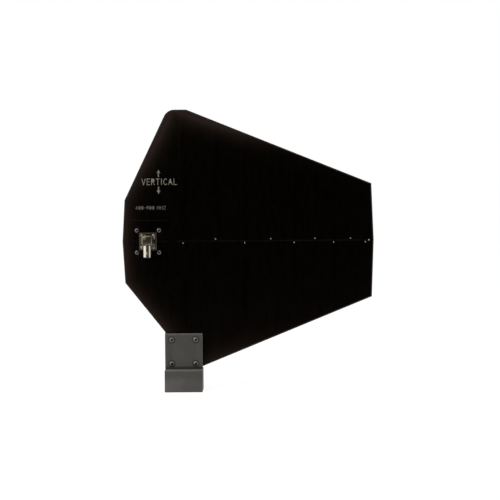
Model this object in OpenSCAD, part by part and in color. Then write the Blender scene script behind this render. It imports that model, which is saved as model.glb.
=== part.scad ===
// Log periodic antenna: a printed laminate board, a right-angle bayonet jack and a stand bracket.
// All sizes are in millimetres. The origin is the mouth of the stand thread, with +Z up,
// +X towards the nose of the board and the front of the board towards -Y.

/* [Board] */
// Thickness of the laminate
board_t = 1.6; // [1.2:0.1:3.2]
// Height of the boom line above the mouth of the stand thread
boom_z = 172; // [168:0.5:190]
// Distance from the longest element back to the shoulders of the rear edge
rear_reach = 66.8; // [66:0.1:75]
// How far the rear edge's middle stands out behind its shoulders
rear_point = 2.7; // [1:0.1:6]
// Half the height of the rear edge
rear_half = 47.5; // [40:0.5:55]
// Slope of the lower rear edge from the horizontal, in degrees
rear_slope = 51.5; // [48:0.5:54]
// Distance from the shortest element forward to the shoulders of the nose
nose_lead = 7; // [6:0.1:12]
// How far the nose's middle stands out in front of its shoulders
nose_point = 2.4; // [1:0.1:6]
// Half the height of the nose
nose_half = 65; // [55:0.5:75]
// Slope of the long upper and lower edges from the horizontal, in degrees
flare_angle = 22.06; // [20:0.02:24]
// Height of the top edge above the boom line
top_rise = 150.8; // [148:0.1:160]
// Length of the top edge before its rear corner is rounded
top_edge = 21.9; // [15:0.1:30]
// Radius of the rounded rear corner of the top edge
top_corner_r = 13; // [2:0.5:16]

/* [Printed elements] */
// Thickness of the copper
copper_t = 0.07; // [0.035:0.005:0.14]
// Number of elements along the boom
element_count = 9; // [7:1:9]
// Spacing of the two longest elements
first_spacing = 37.4; // [34:0.1:40]
// Ratio of each spacing to the one before
tau = 0.895; // [0.88:0.005:0.9]
// Width of the longest element's strip
strip_w = 8.5; // [6:0.1:10]
// Width of bare laminate between an element's end and the board's edge
edge_margin = 8.3; // [6:0.1:12]
// Width of the boom strip on the front
front_boom_w = 2; // [1.5:0.1:2.4]
// Width of the boom strip on the rear
rear_boom_w = 6.4; // [6.2:0.1:8]
// Gap between the front boom and an element that is fed from behind
root_gap = 0.4; // [0.2:0.05:0.5]
// Distance of a plated hole from the boom line
via_offset = 2.2; // [2.1:0.05:2.5]
// Diameter of a plated hole
via_d = 1; // [0.8:0.05:1]
// Diameter of the solder dome on a plated hole
via_dome_d = 1.5; // [1.3:0.05:1.5]
// Height of the solder dome on a plated hole
via_dome_h = 0.3; // [0.2:0.05:0.5]
// Length of the front boom behind the longest element
boom_tail = 8.8; // [6:0.1:12]
// Width of the cross bar at the lower end of the longest element
end_bar_w = 4; // [2:0.1:5]
// Length of that cross bar
end_bar_l = 38; // [20:1:40]
// Gap between that cross bar and the bracket
end_bar_gap = 3; // [2:0.1:4]
// Width of the copper area round the jack
pad_w = 47; // [42:0.5:48]
// Height of the copper area round the jack
pad_h = 49; // [42:0.5:60]

/* [Bracket] */
// Width of the bracket
block_w = 43.2; // [38:0.1:48]
// Depth of the block from front to rear
block_d = 31.75; // [28:0.05:40]
// Height of the block
block_h = 25.4; // [22:0.1:28]
// Height of the flange above the block
flange_h = 40.7; // [38:0.1:44]
// Thickness of the flange
flange_t = 4.76; // [3:0.02:6]
// Size of the eased edges
edge_ease = 0.6; // [0.2:0.1:1]
// Gap between the foot of the board and the block
foot_gap = 0.3; // [0.1:0.05:0.5]
// Distance of the foot's front edge inside the bracket's side
foot_inset = 3; // [1:0.1:4]
// Minor diameter of the stand thread
thread_minor_d = 14.86; // [12:0.02:16]
// Depth of the stand thread
thread_depth = 19; // [14:0.5:20]
// Pitch of the bracket's screws across
bracket_pitch = 27.5; // [25:0.1:29]
// Height of the lower bracket screws above the block
bracket_screw_rise = 6.1; // [5.5:0.1:7]
// Distance of the upper bracket screws below the top of the flange
bracket_screw_drop = 7.1; // [5.5:0.1:8]
// Diameter of a bracket screw
bracket_screw_d = 3.5; // [3:0.05:4]
// Length of a bracket screw under its head
bracket_screw_l = 12.7; // [12:0.1:16]
// Diameter of a bracket screw's head
bracket_head_d = 6.65; // [6:0.05:7.5]
// Height of a bracket screw's head
bracket_head_h = 1.85; // [1.5:0.05:2.2]
// Width across the flats of a bracket screw's socket
bracket_socket = 1.98; // [1.5:0.01:2.5]
// Diameter of a washer
washer_d = 7.9; // [7:0.1:9]
// Thickness of a washer
washer_t = 0.9; // [0.5:0.05:1.2]
// Width across the flats of a bracket nut
bracket_nut_w = 7.94; // [6.5:0.02:8.5]
// Thickness of a bracket nut
bracket_nut_t = 2.78; // [2:0.02:3.2]

/* [Jack] */
// Distance from the longest element back to the jack
jack_back = 40.3; // [39:0.1:41]
// Side of the square flange
jack_flange_w = 20.3; // [19.5:0.1:21]
// Thickness of the square flange
jack_flange_t = 2; // [1.5:0.1:2.5]
// Bevel of the square flange's front edges
jack_flange_bevel = 0.5; // [0.2:0.1:0.8]
// Pitch of the flange screws
jack_pitch = 13.2; // [13:0.05:13.6]
// Width of the elbow block
elbow_w = 12.3; // [12:0.05:12.6]
// Height of the elbow block
elbow_h = 11.6; // [11.2:0.05:12]
// Height of the elbow block's middle above the jack's tail pin
elbow_rise = 1; // [0.8:0.05:1.2]
// Depth of the elbow block in front of the flange
elbow_d = 13; // [12.5:0.05:13.5]
// Bevel of the elbow block's front edges
elbow_bevel = 1.1; // [0.6:0.05:1.3]
// Distance of the barrel's axis from the front of the board
barrel_lift = 9.5; // [9.3:0.05:9.7]
// Diameter of the barrel
barrel_d = 9.65; // [9.4:0.01:9.8]
// Length of the barrel below the elbow block
barrel_l = 13.8; // [12.5:0.1:15]
// Depth to which the barrel is pressed into the elbow block
barrel_seat = 2.5; // [1.5:0.1:3]
// Diameter inside the barrel's mouth
mouth_d = 8.1; // [7.8:0.02:8.3]
// Depth of the barrel's mouth
mouth_depth = 8.4; // [7:0.1:9]
// Diameter of a bayonet lug
lug_d = 2; // [1.8:0.05:2.1]
// Distance across both bayonet lugs
lug_span = 11; // [10.8:0.05:11.2]
// Distance of the lugs from the barrel's end
lug_back = 5.2; // [4.5:0.1:5.6]
// Diameter of the insulator where it fills the barrel
insulator_d = 7; // [6.6:0.05:7.3]
// Diameter of the insulator's front sleeve
sleeve_d = 4.75; // [4.4:0.05:5]
// Distance of the sleeve's end inside the barrel's mouth
sleeve_back = 3.2; // [2.5:0.1:4]
// Height of the insulator above the tail pin
insulator_top = 3.4; // [2.6:0.1:3.8]
// Diameter of the centre contact
contact_d = 2.1; // [2:0.05:2.2]
// Diameter of the hole in the centre contact
contact_bore_d = 1.37; // [1.3:0.01:1.45]
// Depth of the hole in the centre contact
contact_bore_depth = 5; // [4:0.1:6]
// Width of the slot in the centre contact
contact_slot = 0.3; // [0.2:0.05:0.4]
// Distance of the centre contact's end behind the sleeve's end
contact_back = 0.3; // [0.1:0.1:1]
// Diameter of the tail pin
tail_d = 1.3; // [1:0.05:1.4]
// Length of the tail pin behind the rear copper
tail_stickout = 2.6; // [2.4:0.1:3]
// Diameter of the bush round the tail pin
tail_bush_d = 4.1; // [3.5:0.05:4.3]
// Diameter of a flange screw
jack_screw_d = 2.18; // [1.8:0.02:2.4]
// Length of a flange screw under its head
jack_screw_l = 6.35; // [6:0.05:7]
// Diameter of a flange screw's head
jack_head_d = 3.56; // [3:0.02:3.7]
// Height of a flange screw's head
jack_head_h = 1.5; // [1.2:0.05:1.8]
// Width of the slot in a flange screw's head
jack_slot_w = 0.6; // [0.4:0.05:0.8]
// Depth of the slot in a flange screw's head
jack_slot_depth = 0.7; // [0.4:0.05:0.9]
// Width across the flats of a flange nut
jack_nut_w = 4.76; // [4.4:0.02:5]
// Thickness of a flange nut
jack_nut_t = 1.6; // [1.4:0.05:1.8]

/* [Rear cover] */
// Pitch of the cover's screws
cover_pitch = 25.4; // [25:0.05:26.5]
// Outer side of the cover
cover_w = 33.4; // [32:0.1:34]
// Depth of the cover
cover_d = 9; // [8.5:0.1:11]
// Thickness of the cover's walls
cover_wall = 1.8; // [1.4:0.1:2.2]
// Chamfer of the cover's upright corners
cover_corner = 3.5; // [2:0.1:4]
// Bevel of the cover's rear edges
cover_bevel = 1.2; // [0.5:0.1:1.5]
// Diameter of a screw boss in the cover
boss_d = 6; // [5.5:0.1:6.4]
// Diameter of a cover screw
cover_screw_d = 2.85; // [2.4:0.05:3]
// Length of a cover screw under its head
cover_screw_l = 8; // [6:0.1:8.5]
// Diameter of a cover screw's head
cover_head_d = 5.41; // [5:0.01:5.6]
// Height of a cover screw's head
cover_head_h = 1.5; // [1.2:0.05:1.7]
// Width across the flats of a cover screw's socket
cover_socket = 1.59; // [1.2:0.01:1.8]

/* [Feed line] */
// Outer diameter of the feed line's copper jacket
feed_d = 2.2; // [1.9:0.05:2.3]
// Diameter of the feed line's dielectric
dielectric_d = 1.66; // [1.4:0.02:1.7]
// Diameter of the feed line's core
core_d = 0.51; // [0.4:0.01:0.6]
// Gap under the feed line, which solder fills
feed_gap = 0.05; // [0.03:0.01:0.1]
// Distance from the shortest element forward to the feed point
feed_lead = 4; // [3.6:0.1:4.2]
// Length of bare core between the dielectric and each joint
core_bare = 0.4; // [0.2:0.1:0.8]
// Length of dielectric that shows beyond the jacket
dielectric_bare = 0.8; // [0.5:0.1:1.2]
// Length of one solder joint along the feed line
joint_l = 6; // [4:0.5:7]
// Width of a solder joint on the copper
joint_w = 4.6; // [4.2:0.1:5]
// Width of a solder joint at its top
joint_top_w = 2.3; // [1.8:0.1:2.4]
// Height of a solder joint
joint_h = 1.4; // [1.2:0.05:1.6]

/* [Clearances] */
// Radial gap round a pressed or soldered fit
fit_gap = 0.02; // [0.01:0.005:0.04]
// Radial gap round a screw in its hole
screw_gap = 0.1; // [0.05:0.01:0.2]
// Gap between a flange screw's head and the elbow block
head_gap = 0.2; // [0.1:0.05:0.4]

/* [Hidden] */
$fn = 64;

// How far a cutting solid runs past the face that it cuts
past = 1;
// Steps of a rounded corner and of a domed profile
arc_steps = 16;
dome_steps = 6;
// Foot and height of the solder joints at the nose and at the tail pin
tip_dome_d = 2;
tip_dome_h = 0.5;
tail_dome_d = 3.4;
tail_dome_h = 2.4;
// Ring of bare laminate round the tail's solder pad and round the core at the nose
tail_clear_d = 6;
core_clear_d = 2.2;
// Chamfer of a nut's corners, as a share of its thickness
nut_chamfer = 0.15;
// Depth of a screw's socket, as a share of its head's height
socket_share = 0.7;
// Bevel of a slotted head's edge, as a share of its height
head_bevel = 0.3;
// Length of core that stands into the joint at the nose, as a share of the joint's height
core_share = 0.8;
// Gap between the cover's slot and the feed line
slot_gap = 0.3;
// Depth of the blind pilot holes beyond the screws' ends
pilot_spare = 0.5;
// Length of a hole right through board and copper
through = board_t + 2 * copper_t + 2 * past;

// Planes across the board, from front to rear
front_y = -board_t / 2;
rear_y = board_t / 2;
front_cu_y = front_y - copper_t;
rear_cu_y = rear_y + copper_t;

// Places along the boom
flare = tan(flare_angle);
function element_x(i) = first_spacing * (1 - pow(tau, i)) / (1 - tau);
last_x = element_x(element_count - 1);
nose_x = last_x + nose_lead;
feed_x = last_x + feed_lead;
rear_x = -rear_reach;
jack_x = -jack_back;
function edge_half(x) = nose_half + (nose_x - x) * flare;
function element_half(x) = edge_half(x) - edge_margin;
function element_w(i) = strip_w * pow(tau, i);
function via_side(i) = i % 2 == 0 ? -1 : 1;

// Corners of the board
top_z = boom_z + top_rise;
top_front_x = nose_x - (top_rise - nose_half) / flare;
top_rear_x = top_front_x - top_edge;
foot_z = block_h + foot_gap;
foot_rear_x = -block_w / 2;
foot_top_z = boom_z - rear_half - (foot_rear_x - rear_x) * tan(rear_slope);
// Where the lower front edge comes down to the foot, which stands at least as far forward as its inset says
lower_reach_x = nose_x - (boom_z - nose_half - foot_z) / flare;
foot_front_x = max(block_w / 2 - foot_inset, lower_reach_x);
end_bar_z = block_h + flange_h + end_bar_gap;

// Places of the bracket's screws
bracket_rise = flange_h - bracket_screw_rise - bracket_screw_drop;
bracket_z = block_h + bracket_screw_rise + bracket_rise / 2;
bracket_front_y = front_y - flange_t;
washer_y = rear_y + washer_t;

// Planes of the jack
jack_face_y = front_cu_y - jack_flange_t;
barrel_y = front_y - barrel_lift;
elbow_low_z = boom_z + elbow_rise - elbow_h / 2;
mouth_z = elbow_low_z - barrel_l;
step_z = mouth_z + mouth_depth;
insulator_top_z = boom_z + insulator_top;
// Chamfer of the elbow block's corners, which clears the upper flange screws
elbow_corner = (elbow_w + elbow_h) / 2 + elbow_rise - jack_pitch + (jack_head_d / 2 + head_gap) * sqrt(2);
sleeve_z = mouth_z + sleeve_back;
contact_z = sleeve_z + contact_back;
contact_top_z = boom_z + tail_d;

// Axis of the feed line
feed_y = rear_cu_y + feed_gap + feed_d / 2;
bend_r = core_d;
dielectric_start_x = jack_x + tail_dome_d / 2 + core_bare;
dielectric_end_x = feed_x - bend_r - core_bare;
jacket_start_x = dielectric_start_x + dielectric_bare;
jacket_end_x = dielectric_end_x - dielectric_bare;

// Points of an arc that rounds corner b between a and c
function unit(v) = v / norm(v);
function corner_arc(a, b, c, r, steps) =
    let (
        u = unit(a - b),
        w = unit(c - b),
        half = acos(u * w) / 2,
        centre = b + unit(u + w) * r / sin(half),
        from = b + u * r / tan(half) - centre,
        to = b + w * r / tan(half) - centre,
        start = atan2(from[1], from[0]),
        sweep = atan2(from[0] * to[1] - from[1] * to[0], from * to)
    )
    [for (i = [0:steps]) centre + r * [cos(start + sweep * i / steps), sin(start + sweep * i / steps)]];

// Profile of a dome with base radius r and height h, from its axis outwards
function dome_points(r, h) =
    let (ball = (r * r + h * h) / (2 * h), reach = asin(r / ball))
    [for (i = [0:dome_steps])
        let (a = reach * i / dome_steps)
        [ball * sin(a), i == dome_steps ? 0 : h - ball * (1 - cos(a))]];

// Turns a shape built along +Z so that it points to the rear
module to_rear() {
    rotate([-90, 0, 0]) children();
}

// Turns a shape built along +Z so that it points to the front
module to_front() {
    rotate([90, 0, 0]) children();
}

// Turns a shape built along +Z so that it points to the nose
module to_nose() {
    rotate([0, 90, 0]) children();
}

// Extrudes an outline drawn in X and Z between two planes
module sheet(from_y, to_y) {
    translate([0, to_y, 0]) to_front() linear_extrude(to_y - from_y) children();
}

// A dome on the plane z = 0
module dome(d, h) {
    rotate_extrude() polygon(concat([[0, 0]], dome_points(d / 2, h)));
}

module at_rectangle(across, up) {
    for (x = [-1, 1], z = [-1, 1]) translate([x * across / 2, 0, z * up / 2]) children();
}

module at_square(pitch) {
    at_rectangle(pitch, pitch) children();
}

module at_bracket_screws(y) {
    translate([0, y, bracket_z]) at_rectangle(bracket_pitch, bracket_rise) children();
}

module at_jack(y) {
    translate([jack_x, y, boom_z]) children();
}

module at_vias(y) {
    for (i = [0:element_count - 1]) {
        translate([element_x(i), y, boom_z + via_side(i) * via_offset]) children();
    }
}

// A rectangle about the origin with cut corners
module cut_rectangle(w, h, cut) {
    polygon([
        [-w / 2 + cut, -h / 2], [w / 2 - cut, -h / 2], [w / 2, -h / 2 + cut], [w / 2, h / 2 - cut],
        [w / 2 - cut, h / 2], [-w / 2 + cut, h / 2], [-w / 2, h / 2 - cut], [-w / 2, -h / 2 + cut]
    ]);
}

// A box about the origin with all its edges eased
module eased_box(w, d, h, ease) {
    intersection() {
        linear_extrude(h, center = true) cut_rectangle(w, d, ease);
        rotate([90, 0, 0]) linear_extrude(d, center = true) cut_rectangle(w, h, ease);
        rotate([0, 90, 0]) linear_extrude(w, center = true) cut_rectangle(h, d, ease);
    }
}

// A long prism whose far edges, at depth d, are bevelled
module bevelled_prism(w, d, bevel, l) {
    linear_extrude(l + past, center = true) polygon([
        [-w / 2, 0], [-w / 2, d - bevel], [-w / 2 + bevel, d],
        [w / 2 - bevel, d], [w / 2, d - bevel], [w / 2, 0]
    ]);
}

// Turns a shape built towards the rear so that it stands towards the front
module toward_front() {
    mirror([0, 1, 0]) children();
}

// A block on the plane y = 0 that reaches to y = d, with cut corners and bevelled far edges
module bevelled_block(w, h, d, bevel, corner) {
    intersection() {
        sheet(0, d) cut_rectangle(w, h, corner);
        bevelled_prism(w, d, bevel, h);
        rotate([0, 90, 0]) bevelled_prism(h, d, bevel, w);
    }
}

// A button-head screw along +Z, its head below z = 0
module button_screw(head_d, head_h, socket, d, l) {
    cylinder(d = d, h = l);
    difference() {
        mirror([0, 0, 1]) dome(head_d, head_h);
        translate([0, 0, -head_h - past]) {
            cylinder(d = socket / cos(30), h = past + head_h * socket_share, $fn = 6);
        }
    }
}

// A slotted screw along +Z, its round head below z = 0
module slotted_screw(head_d, head_h, slot_w, slot_depth, d, l) {
    edge = head_h * head_bevel;
    cylinder(d = d, h = l);
    difference() {
        rotate_extrude() polygon([
            [0, 0], [head_d / 2, 0], [head_d / 2, edge - head_h], [head_d / 2 - edge, -head_h], [0, -head_h]
        ]);
        translate([-head_d, -slot_w / 2, -head_h - past]) {
            cube([2 * head_d, slot_w, slot_depth + past]);
        }
    }
}

// A hex nut along +Z from z = 0
module hex_nut(w, t, d) {
    tip_r = w / 2 / cos(30);
    cut = t * nut_chamfer;
    difference() {
        intersection() {
            cylinder(r = tip_r, h = t, $fn = 6);
            rotate_extrude() polygon([
                [0, 0], [tip_r - cut, 0], [tip_r, cut], [tip_r, t - cut], [tip_r - cut, t], [0, t]
            ]);
        }
        translate([0, 0, -past]) cylinder(d = d + 2 * fit_gap, h = t + 2 * past);
    }
}

module board_outline() {
    top_rear = [top_rear_x, top_z];
    top_front = [top_front_x, top_z];
    shoulder = [rear_x, boom_z + rear_half];
    polygon(concat(
        [[rear_x - rear_point, boom_z], shoulder],
        corner_arc(shoulder, top_rear, top_front, top_corner_r, arc_steps),
        [
            top_front, [nose_x, boom_z + nose_half], [nose_x + nose_point, boom_z],
            [nose_x, boom_z - nose_half]
        ],
        foot_front_x > lower_reach_x ? [[foot_front_x, boom_z - edge_half(foot_front_x)]] : [],
        [
            [foot_front_x, foot_z], [foot_rear_x, foot_z],
            [foot_rear_x, foot_top_z], [rear_x, boom_z - rear_half]
        ]
    ));
}

// A hole right through board and copper
module through_hole(d, gap) {
    to_rear() cylinder(d = d + 2 * gap, h = through, center = true);
}

// Holes for the jack, its screws and the cover's screws
module jack_holes() {
    at_jack(0) {
        at_square(jack_pitch) through_hole(jack_screw_d, screw_gap);
        at_square(cover_pitch) through_hole(cover_screw_d, screw_gap);
    }
}

module via_holes() {
    at_vias(0) through_hole(via_d, fit_gap);
}

module at_feed_point(y) {
    translate([feed_x, y, boom_z]) children();
}

module antenna_board() {
    color("#12100e") difference() {
        sheet(front_y, rear_y) board_outline();
        jack_holes();
        at_jack(0) through_hole(tail_bush_d, screw_gap);
        via_holes();
        at_feed_point(0) through_hole(core_d, fit_gap);
        at_bracket_screws(0) through_hole(bracket_screw_d, screw_gap);
    }
}

// One arm of element i on the side given by 1 for up and -1 for down
module arm(i, side) {
    w = element_w(i);
    root = side == via_side(i) ? front_boom_w / 2 + root_gap : 0;
    to_bar = boom_z - end_bar_z;
    tip = i == 0 && side < 0 ? to_bar : element_half(element_x(i));
    low = side > 0 ? root : -tip;
    translate([element_x(i) - w / 2, boom_z + low]) square([w, tip - root]);
}

module pad() {
    translate([jack_x, boom_z]) square([pad_w, pad_h], center = true);
}

module front_pattern() {
    boom_l = boom_tail + feed_x + front_boom_w;
    translate([-boom_tail, boom_z - front_boom_w / 2]) square([boom_l, front_boom_w]);
    translate([-end_bar_l / 2, end_bar_z]) square([end_bar_l, end_bar_w]);
    for (i = [0:element_count - 1], side = [-1, 1]) arm(i, side);
    pad();
}

module front_copper() {
    color("#15120f") difference() {
        sheet(front_cu_y, front_y) front_pattern();
        jack_holes();
        at_jack(0) through_hole(tail_clear_d, 0);
        via_holes();
        at_feed_point(0) through_hole(core_d, fit_gap);
    }
}

module rear_pattern() {
    pad();
    translate([jack_x, boom_z - rear_boom_w / 2]) square([feed_x + front_boom_w - jack_x, rear_boom_w]);
}

module rear_copper() {
    color("#15120f") {
        difference() {
            sheet(rear_y, rear_cu_y) rear_pattern();
            jack_holes();
            at_jack(0) through_hole(tail_clear_d, 0);
            via_holes();
            at_feed_point(0) through_hole(core_clear_d, 0);
        }
        difference() {
            at_jack(rear_y) to_rear() cylinder(d = tail_dome_d, h = copper_t);
            at_jack(0) through_hole(tail_d, fit_gap);
        }
    }
}

module via_pins() {
    color("#b9b9b4") {
        at_vias(front_cu_y) {
            to_rear() cylinder(d = via_d, h = rear_cu_y - front_cu_y);
            to_front() dome(via_dome_d, via_dome_h);
        }
        at_vias(rear_cu_y) to_rear() dome(via_dome_d, via_dome_h);
    }
}

module tip_solder() {
    color("#c6c6c0") difference() {
        at_feed_point(front_cu_y) to_front() dome(tip_dome_d, tip_dome_h);
        at_feed_point(0) through_hole(core_d, fit_gap);
    }
}

module bracket() {
    sink = 2 * edge_ease;
    flange_y = (bracket_front_y + front_y) / 2;
    color("#4a4845") difference() {
        union() {
            translate([0, 0, block_h / 2]) eased_box(block_w, block_d, block_h, edge_ease);
            translate([0, flange_y, block_h + (flange_h - sink) / 2]) {
                eased_box(block_w, flange_t, flange_h + sink, edge_ease);
            }
        }
        translate([0, 0, -past]) cylinder(d = thread_minor_d, h = thread_depth + past);
        at_bracket_screws(bracket_front_y - past) {
            to_rear() cylinder(d = bracket_screw_d + 2 * screw_gap, h = flange_t + 2 * past);
        }
    }
}

module bracket_screws() {
    color("#2e2c2a") at_bracket_screws(bracket_front_y) to_rear() {
        button_screw(bracket_head_d, bracket_head_h, bracket_socket, bracket_screw_d, bracket_screw_l);
    }
}

module bracket_washers() {
    color("#8d8b86") at_bracket_screws(rear_y) to_rear() difference() {
        cylinder(d = washer_d, h = washer_t);
        translate([0, 0, -past]) cylinder(d = bracket_screw_d + 2 * screw_gap, h = washer_t + 2 * past);
    }
}

module bracket_nuts() {
    color("#9a9892") at_bracket_screws(washer_y) to_rear() {
        hex_nut(bracket_nut_w, bracket_nut_t, bracket_screw_d);
    }
}

module connector_body() {
    edge = jack_flange_bevel;
    cavity_d = insulator_d + 2 * fit_gap;
    color("#b8b4aa") difference() {
        union() {
            at_jack(front_cu_y) toward_front() {
                bevelled_block(jack_flange_w, jack_flange_w, jack_flange_t, edge, edge);
            }
            at_jack(front_cu_y) toward_front() translate([0, 0, elbow_rise]) {
                bevelled_block(elbow_w, elbow_h, jack_flange_t + elbow_d, elbow_bevel, elbow_corner);
            }
        }
        translate([jack_x, barrel_y, elbow_low_z - past]) {
            cylinder(d = barrel_d + 2 * fit_gap, h = barrel_seat + past);
            cylinder(d = cavity_d, h = insulator_top_z - elbow_low_z + past + fit_gap);
        }
        at_jack(barrel_y) to_rear() cylinder(d = tail_bush_d + 2 * fit_gap, h = front_y - barrel_y);
        at_jack(jack_face_y - past) at_square(jack_pitch) {
            to_rear() cylinder(d = jack_screw_d + 2 * screw_gap, h = jack_flange_t + 2 * past);
        }
    }
}

module connector_barrel() {
    color("#d6d3ca") translate([jack_x, barrel_y, mouth_z]) difference() {
        union() {
            cylinder(d = barrel_d, h = barrel_l + barrel_seat);
            translate([0, 0, lug_back]) to_rear() cylinder(d = lug_d, h = lug_span, center = true);
        }
        translate([0, 0, -past]) cylinder(d = mouth_d, h = mouth_depth + past);
        cylinder(d = insulator_d + 2 * fit_gap, h = barrel_l + barrel_seat + past);
    }
}

module connector_insulator() {
    color("#eeece6") translate([jack_x, barrel_y, 0]) difference() {
        union() {
            translate([0, 0, step_z]) cylinder(d = insulator_d, h = insulator_top_z - step_z);
            translate([0, 0, sleeve_z]) cylinder(d = sleeve_d, h = step_z - sleeve_z + past);
        }
        translate([0, 0, sleeve_z - past]) {
            cylinder(d = contact_d + 2 * fit_gap, h = contact_top_z - sleeve_z + past + fit_gap);
        }
        translate([0, 0, boom_z]) to_rear() cylinder(d = tail_d + 2 * fit_gap, h = insulator_d);
    }
}

module centre_contact() {
    color("#c9a227") translate([jack_x, barrel_y, contact_z]) difference() {
        cylinder(d = contact_d, h = contact_top_z - contact_z);
        translate([0, 0, -past]) cylinder(d = contact_bore_d, h = contact_bore_depth + past);
        translate([-contact_slot / 2, -contact_d, -past]) {
            cube([contact_slot, 2 * contact_d, contact_bore_depth]);
        }
        translate([0, 0, boom_z - contact_z]) to_rear() cylinder(d = tail_d + 2 * fit_gap, h = contact_d);
    }
}

module tail_pin() {
    l = rear_cu_y + tail_stickout - barrel_y;
    color("#c9a227") at_jack(barrel_y) to_rear() cylinder(d = tail_d, h = l);
}

module tail_insulator() {
    l = rear_y - barrel_y;
    color("#eeece6") at_jack(barrel_y) difference() {
        to_rear() cylinder(d = tail_bush_d, h = l);
        to_rear() translate([0, 0, -past]) cylinder(d = tail_d + 2 * fit_gap, h = l + 2 * past);
        cylinder(d = insulator_d + 2 * fit_gap, h = tail_bush_d + 2 * past, center = true);
    }
}

module flange_screws() {
    color("#cfccc4") at_jack(jack_face_y) at_square(jack_pitch) to_rear() {
        slotted_screw(jack_head_d, jack_head_h, jack_slot_w, jack_slot_depth, jack_screw_d, jack_screw_l);
    }
}

module flange_nuts() {
    color("#b3b0a8") at_jack(rear_cu_y) at_square(jack_pitch) to_rear() {
        hex_nut(jack_nut_w, jack_nut_t, jack_screw_d);
    }
}

module cover_screws() {
    color("#2a2826") at_jack(front_cu_y) at_square(cover_pitch) to_rear() {
        button_screw(cover_head_d, cover_head_h, cover_socket, cover_screw_d, cover_screw_l);
    }
}

module rear_cover() {
    room = cover_w - 2 * cover_wall;
    pilot_l = cover_screw_l - (rear_cu_y - front_cu_y) + pilot_spare;
    slot_w = feed_d + 2 * slot_gap;
    color("#1b1a19") at_jack(rear_cu_y) difference() {
        union() {
            difference() {
                bevelled_block(cover_w, cover_w, cover_d, cover_bevel, cover_corner);
                sheet(-past, cover_d - cover_wall) cut_rectangle(room, room, cover_corner);
            }
            at_square(cover_pitch) to_rear() cylinder(d = boss_d, h = cover_d - cover_wall);
        }
        at_square(cover_pitch) translate([0, -past, 0]) {
            to_rear() cylinder(d = cover_screw_d + 2 * fit_gap, h = pilot_l + past);
        }
        translate([room / 2 - past, -past, -slot_w / 2]) {
            cube([cover_wall + 2 * past, past + feed_gap + feed_d + slot_gap, slot_w]);
        }
    }
}

module feed_line_jacket() {
    color("#b87333") translate([jacket_start_x, feed_y, boom_z]) to_nose() difference() {
        cylinder(d = feed_d, h = jacket_end_x - jacket_start_x);
        translate([0, 0, -past]) {
            cylinder(d = dielectric_d + 2 * fit_gap, h = jacket_end_x - jacket_start_x + 2 * past);
        }
    }
}

module feed_line_dielectric() {
    l = dielectric_end_x - dielectric_start_x;
    color("#f0eee8") translate([dielectric_start_x, feed_y, boom_z]) to_nose() difference() {
        cylinder(d = dielectric_d, h = l);
        translate([0, 0, -past]) cylinder(d = core_d + 2 * fit_gap, h = l + 2 * past);
    }
}

// The core runs along the boom, bends and passes through the board to the front boom
module feed_line_core() {
    start = jack_x + tail_d / 2 + fit_gap;
    bend_x = feed_x - bend_r;
    bend_y = feed_y - bend_r;
    color("#c9995a") {
        translate([start, feed_y, boom_z]) to_nose() cylinder(d = core_d, h = bend_x - start);
        translate([bend_x, bend_y, boom_z]) {
            rotate_extrude(angle = 90) translate([bend_r, 0]) circle(d = core_d);
        }
        at_feed_point(front_cu_y - tip_dome_h * core_share) to_rear() {
            cylinder(d = core_d, h = bend_y - front_cu_y + tip_dome_h * core_share);
        }
    }
}

// Joints between the elements, which hold the jacket to the rear boom
module feed_line_solder() {
    top = rear_cu_y + joint_h;
    color("#b4b4ae") difference() {
        for (i = [0:element_count - 2]) {
            middle = (element_x(i) + element_x(i + 1)) / 2;
            translate([middle - joint_l / 2, 0, boom_z]) rotate([90, 0, 90]) linear_extrude(joint_l) polygon([
                [rear_cu_y, -joint_w / 2], [rear_cu_y, joint_w / 2],
                [top, joint_top_w / 2], [top, -joint_top_w / 2]
            ]);
        }
        translate([-past, feed_y, boom_z]) to_nose() cylinder(d = feed_d + 2 * fit_gap, h = nose_x);
    }
}

module tail_solder() {
    color("#b4b4ae") difference() {
        at_jack(rear_cu_y) to_rear() dome(tail_dome_d, tail_dome_h);
        at_jack(0) to_rear() cylinder(d = tail_d + 2 * fit_gap, h = rear_cu_y + tail_dome_h + past);
        translate([jack_x, feed_y, boom_z]) to_nose() cylinder(d = core_d + 2 * fit_gap, h = tail_dome_d);
    }
}

antenna_board();
front_copper();
rear_copper();
via_pins();
tip_solder();
bracket();
bracket_screws();
bracket_washers();
bracket_nuts();
connector_body();
connector_barrel();
connector_insulator();
centre_contact();
tail_pin();
tail_insulator();
flange_screws();
flange_nuts();
cover_screws();
rear_cover();
feed_line_jacket();
feed_line_dielectric();
feed_line_core();
feed_line_solder();
tail_solder();
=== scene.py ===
import math
import random

import bmesh
import bpy
from bpy.props import FloatProperty, FloatVectorProperty, PointerProperty, StringProperty
from bpy.types import Operator, Panel, PropertyGroup
from mathutils import Matrix, Vector
from mathutils.geometry import delaunay_2d_cdt


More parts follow.
